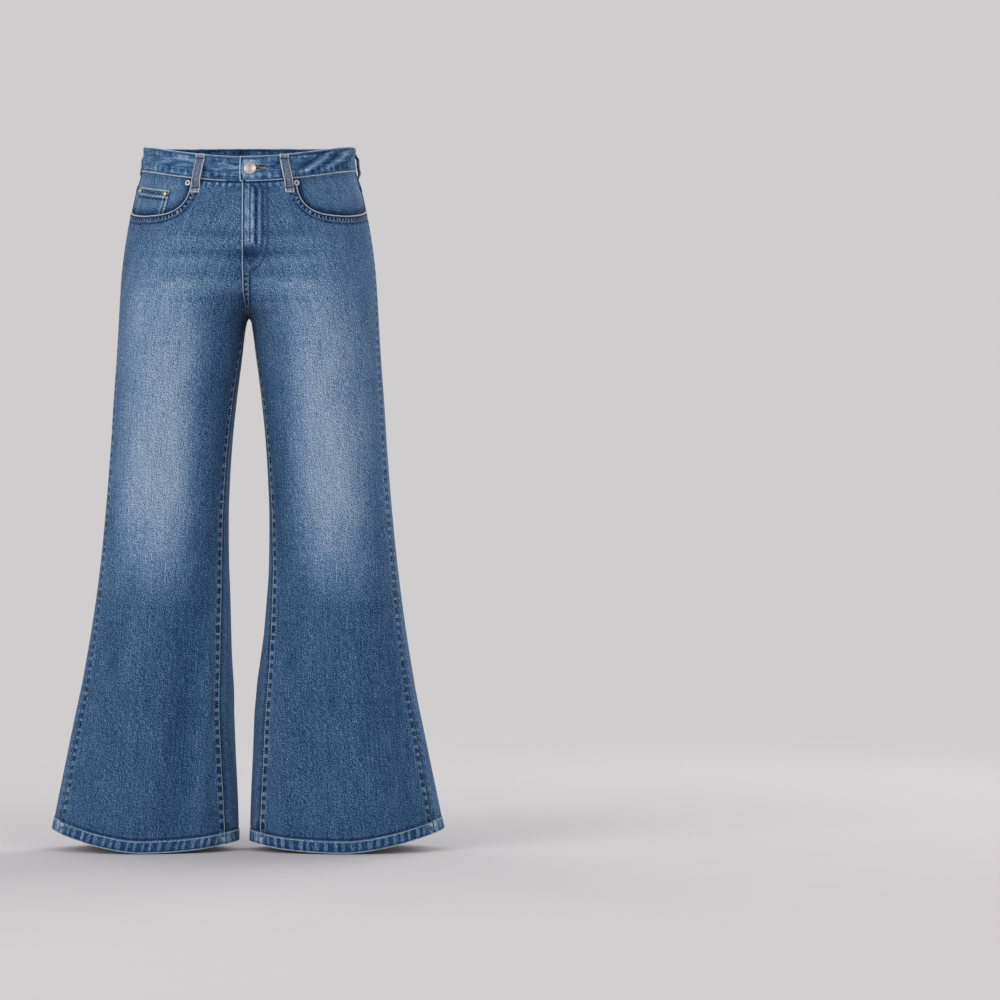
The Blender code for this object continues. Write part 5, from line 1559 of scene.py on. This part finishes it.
def capsules(name, colour):
    """One mesh of all stitches of a colour. The middle ring stands above the cloth, the poles lie below."""
    a, b, normal, radius = (np.concatenate(group) for group in zip(*sewn[colour]))
    across = unit(np.cross(normal, unit(b - a)))[:, None]
    normal, radius = normal[:, None], radius[:, None, None]
    turn = (np.arange(RING_POINTS) * 2 * np.pi / RING_POINTS)[:, None]
    circle = np.cos(turn) * across + np.sin(turn) * normal * STITCH_FLAT
    middle, half = ((a + b) / 2)[:, None], ((b - a) / 2)[:, None]
    rings = [middle + half * place + normal * radius * high + circle * radius * wide
             for place, high, wide in STITCH_RINGS]
    poles = [middle + half * place - normal * radius * STITCH_DIVE for place in (-1.0, 1.0)]
    points = np.concatenate([poles[0], *rings, poles[1]], axis=1)
    faces = capsule_faces()
    a0, b0, c0 = (points[0, faces[:, i]] for i in range(3))
    if np.sum(np.cross(b0 - a0, c0 - a0) * (a0 - middle[0])) < 0:
        faces = faces[:, ::-1]
    every = (faces[None] + points.shape[1] * np.arange(len(points))[:, None, None]).reshape(-1, 3)
    piece = to_object(name, points.reshape(-1, 3), every.tolist(), (colour,), sharp=180)
    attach(piece, "root")
    print("%-22s %5d stitches, %6d triangles" % (name, len(points), len(every)))


# %% [markdown]
# The rows run where a sewing machine would take them: round the hems, down the fly in a J, along both edges
# of each felled seam and round the pockets. A line of stitches is first drawn flat, in metres from the side
# seam and height, and then laid on the relief of the piece it is sewn through.

# %% Rows on the legs, the yokes and the back pockets
# Rows of stitches, by metres from the edge of the yoke, the seat's fell and the back pocket's sides and top
YOKE_ROWS, SEAT_ROWS, POCKET_ROWS = (0.0018, 0.0086), (0.0018, 0.0086), (0.0018, 0.0084)
POCKET_TOP_ROWS = (0.0016, POCKET_HEM - 0.0016)
FLY_TACKS = (-0.1535, -0.1665)  # heights of the bar tacks that close the fly


def on_leg(height, along, back, side, out=None):
    """Spots and normals of a line on a leg panel, on its relief or `out` of the form."""
    out = leg_look(height, along, back, side)[0] if out is None else out
    return skin(height, along, back, out, side), outward(height, along, back) * mirrored(side)


def on_fly(height, edge):
    """Spots and normals on the left front, `edge` metres in from its free edge."""
    return on_leg(height, girth(height, False) + FRONT_LAP - edge, False, 1)


def on_patch(line, side, look):
    """Spots and normals of a flat line on a yoke or a back pocket."""
    along, height = line.T
    return on_leg(height, along, True, side, look(height, along, side)[0])


def beside(line, away):
    """The line moved sideways by `away`, to the left of its direction."""
    step = unit(np.gradient(line, axis=0))
    return line + away * np.column_stack((-step[:, 1], step[:, 0]))


def sew_leg(side):
    """Hem, inseam, outseam and pocket mouth of one leg."""
    share = np.linspace(0.004, 0.996, 260)
    for back in (False, True):
        height = hem_height(share, back) + HEM_HEIGHT - 0.0022
        row = on_leg(height, panel_along(height, share, back), back, side)
        stitch_row(*row, "thread_pale", radius=0.0005, lean=0.35)
    height = np.linspace(CROTCH - 0.012, HEM_MIDDLE + HEM_RISE_IN + 0.001, 500)
    stitch_row(*on_leg(height, girth(height, False) - 0.0015, False, side), "thread_pale", radius=0.00062)
    height = np.linspace(MOUTH_SIDE - 0.004, HEM_MIDDLE + HEM_RISE_OUT + 0.001, 500)
    stitch_row(*on_leg(height, 0 * height + 0.0016, False, side))
    for away in MOUTH_ROWS:
        along, height = beside(MOUTH_EDGE[1:-1], away).T
        stitch_row(*on_leg(height, along, False, side))


def sew_back(side):
    """Foot of the yoke, and the sides, top and tacks of the back pocket."""
    share = np.linspace(0.004, 0.996, 160)
    for away in YOKE_ROWS:
        height = yoke_height(share) - YOKE_LAP + away
        stitch_row(*on_patch(np.column_stack((panel_along(height, share, True), height)), side, yoke_look))
    for away in POCKET_ROWS:
        line = [np.linspace(a, b, 60)[:-1] for a, b in zip(POCKET_SIDES[:-1], POCKET_SIDES[1:])]
        line = beside(np.concatenate(line), -away)
        stitch_row(*on_patch(line[line[:, 1] < TOP_OUTER[1] - 0.001], side, pocket_look))
    for away in POCKET_TOP_ROWS:
        line = np.linspace(TOP_INNER + (-0.0012, -away), TOP_OUTER + (0.0012, -away), 80)
        stitch_row(*on_patch(line, side, pocket_look))
    for corner, inwards in ((TOP_INNER, -1), (TOP_OUTER, 1)):
        line = np.linspace(corner + (inwards * 0.0028, -0.0008), corner + (inwards * 0.0036, -0.0085), 20)
        bar_tack(*on_patch(line, side, pocket_look), wide=0.0019)


def sew_centre():
    """Seat seam, the seam under the fly, the fly's edge and its J with its tacks."""
    for edge in SEAT_ROWS:
        height = np.linspace(WAIST_BACK - BAND_HEIGHT - 0.001, CROTCH + 0.003, 300)
        along = girth(height, True) + SEAT_LAP - edge
        looks = yoke_look(height, along, 1)[0], leg_look(height, along, True, 1)[0]
        stitch_row(*on_leg(height, along, True, 1, np.where(height > YOKE_BACK, *looks)))
        height = np.linspace(FLY_END + 0.010, CROTCH + 0.002, 120)
        stitch_row(*on_fly(height, edge))
    height = np.linspace(WAIST_FRONT - BAND_HEIGHT - 0.001, FLY_END, 160)
    stitch_row(*on_fly(height, 0.0017), lean=0.0)
    for row in FLY_ROWS:
        line = curve_down(*row)
        edge, height = sampled(np.linspace(0, 1, 400), np.linspace(0, 1, len(line)), line).T
        stitch_row(*on_fly(height, edge), "thread_brown", radius=0.00052, lean=0.15)
    for level in FLY_TACKS:
        edge, height = np.linspace(0.003, 0.01, 20), np.full(20, level)
        bar_tack(*on_fly(height, edge), radius=0.00042)


for side, _ in SIDES:
    sew_leg(side)
    sew_back(side)
sew_centre()
print("rows on the legs:", {colour: sum(len(row[0]) for row in rows) for colour, rows in sewn.items()})

# %% [markdown]
# The waistband, the loops and the coin pocket have surfaces of their own. The buttonhole is a keyhole: close
# stitches round a slit with a round end at the button.

# %% Rows on the waistband, and the buttonhole
BAND_ROWS = (0.0019, BAND_HEIGHT - 0.0022)  # heights above the band's lower edge
EYE_IN, EYE_RADIUS, EYE_OPEN = 0.002, 0.0024, 0.30  # the keyhole's eye, half its opening in radians
SLIT_IN, SLIT_WIDE, SLIT_NARROW = 0.0042, 0.0021, 0.0006


def on_band(x, up):
    """Spots and normals on the band's left front, x metres from the centre and up from its foot."""
    share = x / BAND_FRONT
    height = waist_height(share, False) - BAND_HEIGHT + up
    out, _ = band_look(x + BAND_END, up + 0 * x, True)
    return band_spot(share, up, False, 1, out), outward(height, (1 - share) * girth(height, False), False)


for share, run, back, side, first in QUARTERS:
    seen = share > (0.002 if side < 0 and not back else -1)
    share, run = share[seen], run[seen]
    for level in BAND_ROWS:
        height = waist_height(np.abs(share), back) - BAND_HEIGHT + level
        normals = outward(height, (1 - share) * girth(height, back), back) * mirrored(side)
        out, _ = band_look(run, level + 0 * run, first)
        stitch_row(band_spot(share, level, back, side, out), normals)

level = np.linspace(0.0022, BAND_HEIGHT - 0.0024, 40)
stitch_row(*on_band(0.0008 + 0 * level, level))
turn = np.linspace(EYE_OPEN, 2 * np.pi - EYE_OPEN, 40)
slit = np.linspace(HOLE_FROM + SLIT_IN, HOLE_TO, 30)
narrow = np.interp(slit, (slit[0], slit[-1]), (SLIT_WIDE, SLIT_NARROW))
keyhole_x = np.concatenate((slit[::-1], HOLE_FROM + EYE_IN + EYE_RADIUS * np.cos(turn), slit))
keyhole_up = BAND_HEIGHT / 2 + np.concatenate((narrow[::-1], EYE_RADIUS * np.sin(turn), -narrow))
bar_tack(*on_band(keyhole_x, keyhole_up), "thread_tan", wide=0.0014, pitch=0.0006, radius=0.0003)
end_up = np.linspace(-0.0011, 0.0011, 8)
bar_tack(*on_band(HOLE_TO + 0.0007 + 0 * end_up, BAND_HEIGHT / 2 + end_up), "thread_tan", wide=0.0018)
print("buttonhole: %.1f mm long" % (1000 * (HOLE_TO - HOLE_FROM)))

# %% Rows on the belt loops and the coin pocket
LOOP_TACKS = (0.003, 0.0034)  # how far the tacks lie from a loop's top and from its foot
COIN_TOP_ROWS, COIN_SIDE_ROWS, COIN_FOOT = (0.002, 0.0088), (0.0018, 0.0076), -0.104
FINE = {"pitch": 0.003, "long": 0.0022, "radius": 0.00034}

for name, *shape in LOOPS:
    down = np.linspace(0.03, 0.97, 120)
    spot, normal, sideways, rise, length = loop_frame(*shape, down)
    lifted = spot + normal * (rise + LOOP_WALL)[:, None]
    for away in (0.0024 - LOOP_WIDTH / 2, LOOP_WIDTH / 2 - 0.0024):
        stitch_row(lifted + sideways * away, normal, pitch=0.0028, long=0.0021, radius=0.0003, lean=0.0)
    for at in (LOOP_TACKS[0], length - LOOP_TACKS[1]):
        k = int(np.argmin(np.abs(down * length - at)))
        across = np.linspace(-0.005, 0.005, 16)[:, None]
        line = lifted[k] + normal[k] * 0.0006 + sideways[k] * across
        bar_tack(line, np.repeat(normal[k:k + 1], 16, axis=0), "thread_blue", wide=0.0019)

for away in COIN_TOP_ROWS:
    along = np.linspace(COIN_OUTER + 0.001, COIN_INNER - 0.001, 60)
    row = on_leg(coin_top(along) - away, along, False, -1, 0 * along + COIN_OUT + 0.0006)
    stitch_row(*row, "thread_pale", lean=0.0, **FINE)
for away in COIN_SIDE_ROWS:
    height = np.linspace(coin_top(COIN_INNER) - 0.001, COIN_FOOT, 50)
    row = on_leg(height, COIN_INNER - away + 0 * height, False, -1, 0 * height + COIN_OUT + 0.0001)
    stitch_row(*row, "thread_pale", lean=0.0, **FINE)
for colour in sorted(sewn):
    capsules("stitches_" + colour.split("_")[1], colour)

# %% [markdown]
# ## Button, rivets and tacks
# Small round trims are turned shapes: a profile carried round an axis. The button has plain concentric rings
# and a copper centre. Nothing is stamped on it.

# %% Profiles of the metal trims
RIVETS = {"left": 0.075, "right": 0.079}  # distance of each from the middle
RIVET_RADIUS, RIVET_BELOW_BAND = 0.0043, 0.0068
TACK_RADIUS, TACK_IN = 0.0027, 0.0052  # a tack's distance from both edges of the coin pocket's corner
# Profiles: radius as a share of the trim's, height above its seat in metres
BUTTON = ((0.0, -0.0022), (0.22, -0.0022), (0.22, 0.0), (0.80, 0.0), (0.97, 0.0004), (1.0, 0.001),
          (0.99, 0.0016), (0.94, 0.0022), (0.88, 0.0026), (0.80, 0.0029), (0.72, 0.0029), (0.66, 0.0026),
          (0.62, 0.0021), (0.56, 0.0019), (0.50, 0.0021), (0.46, 0.0023), (0.42, 0.0021), (0.36, 0.0018),
          (0.20, 0.0018))
BUTTON_EYE = ((0.24, 0.0015), (0.22, 0.0022), (0.18, 0.0026), (0.12, 0.0028), (0.06, 0.0027), (0.0, 0.0026))
RIVET = ((0.0, -0.0006), (0.95, -0.0006), (1.0, 0.0), (0.99, 0.0006), (0.93, 0.0011), (0.82, 0.0014),
         (0.66, 0.0015), (0.54, 0.0014), (0.46, 0.001), (0.40, 0.0007))
RIVET_EYE = ((0.46, 0.0005), (0.34, 0.0008), (0.20, 0.001), (0.0, 0.0011))
TACK = ((0.0, -0.0005), (0.95, -0.0005), (1.0, 0.0), (0.97, 0.0005), (0.84, 0.0009), (0.60, 0.0012),
        (0.30, 0.0014), (0.0, 0.0014))
STEPS = 72  # points round each ring
POLE = 0.004  # a profile's ends are tiny rings, each closed with one flat face


def trim(name, node_name, seat, radius, profiles, colours):
    """Profiles turned round the seat's normal, which take the place of a node of the solid model.

    Each ring has the radius times its share and stands at its height above the seat. Each profile has its
    own material.
    """
    spot, normal = (values[0] for values in seat)
    normal = unit(normal)
    across = unit(np.cross((0.0, 0.0, 1.0), normal))
    turn = np.linspace(0, 2 * np.pi, STEPS, endpoint=False)[:, None]
    circle = np.cos(turn) * across + np.sin(turn) * np.cross(normal, across)
    points, faces, slots = np.empty((0, 3)), [], []
    for slot, profile in enumerate(profiles):
        share, high = np.array(profile).T[..., None, None]
        index = len(points) + np.arange(len(profile) * STEPS).reshape(len(profile), STEPS)
        after = np.roll(index, -1, axis=1)
        quads = np.stack((index[:-1], after[:-1], after[1:], index[1:]), -1).reshape(-1, 4)
        faces += quads.tolist() + [index[0, ::-1].tolist(), index[-1].tolist()]
        slots += [slot] * (len(quads) + 2)
        rings = spot + high * normal + circle * radius * np.maximum(share, POLE)
        points = np.concatenate((points, rings.reshape(-1, 3)))
    piece = to_object(name, points, faces, colours, slots, sharp=40)
    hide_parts(node_name)
    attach(piece, "root")


# %% Metal trims
place, level = np.array((BUTTON_X,)), np.array((BAND_HEIGHT / 2,))
seat_of_button = band_spot(place / BAND_FRONT, level, False, 1, 0 * place + 0.0006), on_band(place, level)[1]
trim("button_cap", "button", seat_of_button, BUTTON_RADIUS, (BUTTON, BUTTON_EYE), ("nickel", "copper"))
height = np.array((front_top(MOUTH_WIDTH) - RIVET_BELOW_BAND,))
for side, hand in SIDES:
    along = np.array((along_at(RIVETS[hand], height[0], False),))
    trim("rivet_cap_" + hand, "rivet_" + hand, on_leg(height, along, False, side), RIVET_RADIUS,
         (RIVET, RIVET_EYE), ("nickel", "dark_metal"))
for hand, along in (("inner", COIN_INNER - TACK_IN), ("outer", COIN_OUTER + TACK_IN)):
    along = np.array((along,))
    seat_of_tack = on_leg(coin_top(along) - TACK_IN, along, False, -1, 0 * along + COIN_OUT + 0.0007)
    trim("tack_cap_" + hand, "coin_rivet_" + hand, seat_of_tack, TACK_RADIUS, (TACK,), ("brass",))
print("trims: button, 2 rivets, 2 tacks")

# %% [markdown]
# ## Studio
# A pale studio with large soft lights at its four corners. The left one is the brighter in front, the right
# one behind. The floor fades out with distance, so no edge shows from any side.

# %% Floor and backdrop
FLOOR_BELOW, FLOOR_REACH = 0.0015, 2.7  # how far the floor lies under the hems, and its radius
FADE_FROM, FADE_TO = 0.7, 2.6  # distances from its middle over which it fades out
FLOOR_GREYS, FLOOR_TINT = (0.525, 0.543), np.array((1.02, 0.985, 1.0))
BACKDROP = (0.631, 0.610, 0.617, 1.0)

tree, surface = begin("studio_floor", Roughness=0.95, Specular_IOR_Level=0.1)
greys = [(stop, grey * FLOOR_TINT) for stop, grey in enumerate(FLOOR_GREYS)]
coloured(tree, surface, cloud(tree, 3.0, 3.0), greys)
place = node(tree, "TexCoord").outputs["Object"]
away = node(tree, "VectorMath", {0: place}, operation="LENGTH").outputs["Value"]
inputs = {"Value": away, "From Min": FADE_FROM, "From Max": FADE_TO, "To Min": 1.0, "To Max": 0.0}
fade = node(tree, "MapRange", inputs, interpolation_type="SMOOTHSTEP")
tree.links.new(fade.outputs[0], surface.inputs["Alpha"])
turn = np.linspace(0, 2 * np.pi, 64, endpoint=False)
disc = FLOOR_REACH * np.column_stack((np.cos(turn), np.sin(turn), 0 * turn))
floor = to_object("floor", disc, [list(range(len(disc)))], ("studio_floor",))
floor.location = (0.0, 0.0, cad_box[0][2] - FLOOR_BELOW)

world = bpy.data.worlds.new("studio")
bpy.context.scene.world = world
world.use_nodes = True
world.node_tree.nodes["Background"].inputs["Color"].default_value = BACKDROP
world.node_tree.nodes["Background"].inputs["Strength"].default_value = 1.0
print("floor %.1f mm under the hems" % (1000 * FLOOR_BELOW))

# %% Lights and camera
MIDDLE_HEIGHT = -0.49  # half way down the jeans, where the lights and the camera aim
LIGHT_ASIDE, LIGHT_AWAY, LIGHT_UP, LIGHT_SIZE = 2.4, 2.6, 0.7, 2.6
# Lights. Columns: side and way from the middle, -1 left or in front, watts
LIGHTS = ((-1, -1, 80.0), (-1, 1, 26.0), (1, -1, 36.0), (1, 1, 84.0))
# The camera's distance, how many degrees it stands to the right, and how many of them it turns back
DISTANCE, AZIMUTH, ASIDE = 5.0, 4.5, 4.16
VIEW_WIDTH = 1.45  # width of the view at the jeans, in metres

for hand, way, watts in LIGHTS:
    data = bpy.data.lights.new("light_%d_%d" % (hand + 1, way + 1), "AREA")
    data.size, data.energy = LIGHT_SIZE, watts
    lamp = bpy.data.objects.new(data.name, data)
    spot = np.array((LIGHT_ASIDE * hand, LIGHT_AWAY * way, LIGHT_UP))
    x, y, z = unit(spot - (0.0, 0.0, MIDDLE_HEIGHT))
    lamp.location, lamp.rotation_euler = spot, (np.arccos(z), 0.0, np.arctan2(y, x) + np.pi / 2)
    bpy.context.scene.collection.objects.link(lamp)

data = bpy.data.cameras.new("camera")
data.sensor_width, data.lens = 36.0, 36.0 * DISTANCE / VIEW_WIDTH
camera = bpy.data.objects.new("camera", data)
angle = np.radians(AZIMUTH)
camera.location = (DISTANCE * np.sin(angle), -DISTANCE * np.cos(angle), MIDDLE_HEIGHT)
camera.rotation_euler = (np.pi / 2, 0.0, np.radians(AZIMUTH - ASIDE))
bpy.context.scene.collection.objects.link(camera)
bpy.context.scene.camera = camera
bpy.context.scene.view_settings.view_transform = "Standard"
print("%d lights, camera %.1f m away" % (len(LIGHTS), DISTANCE))
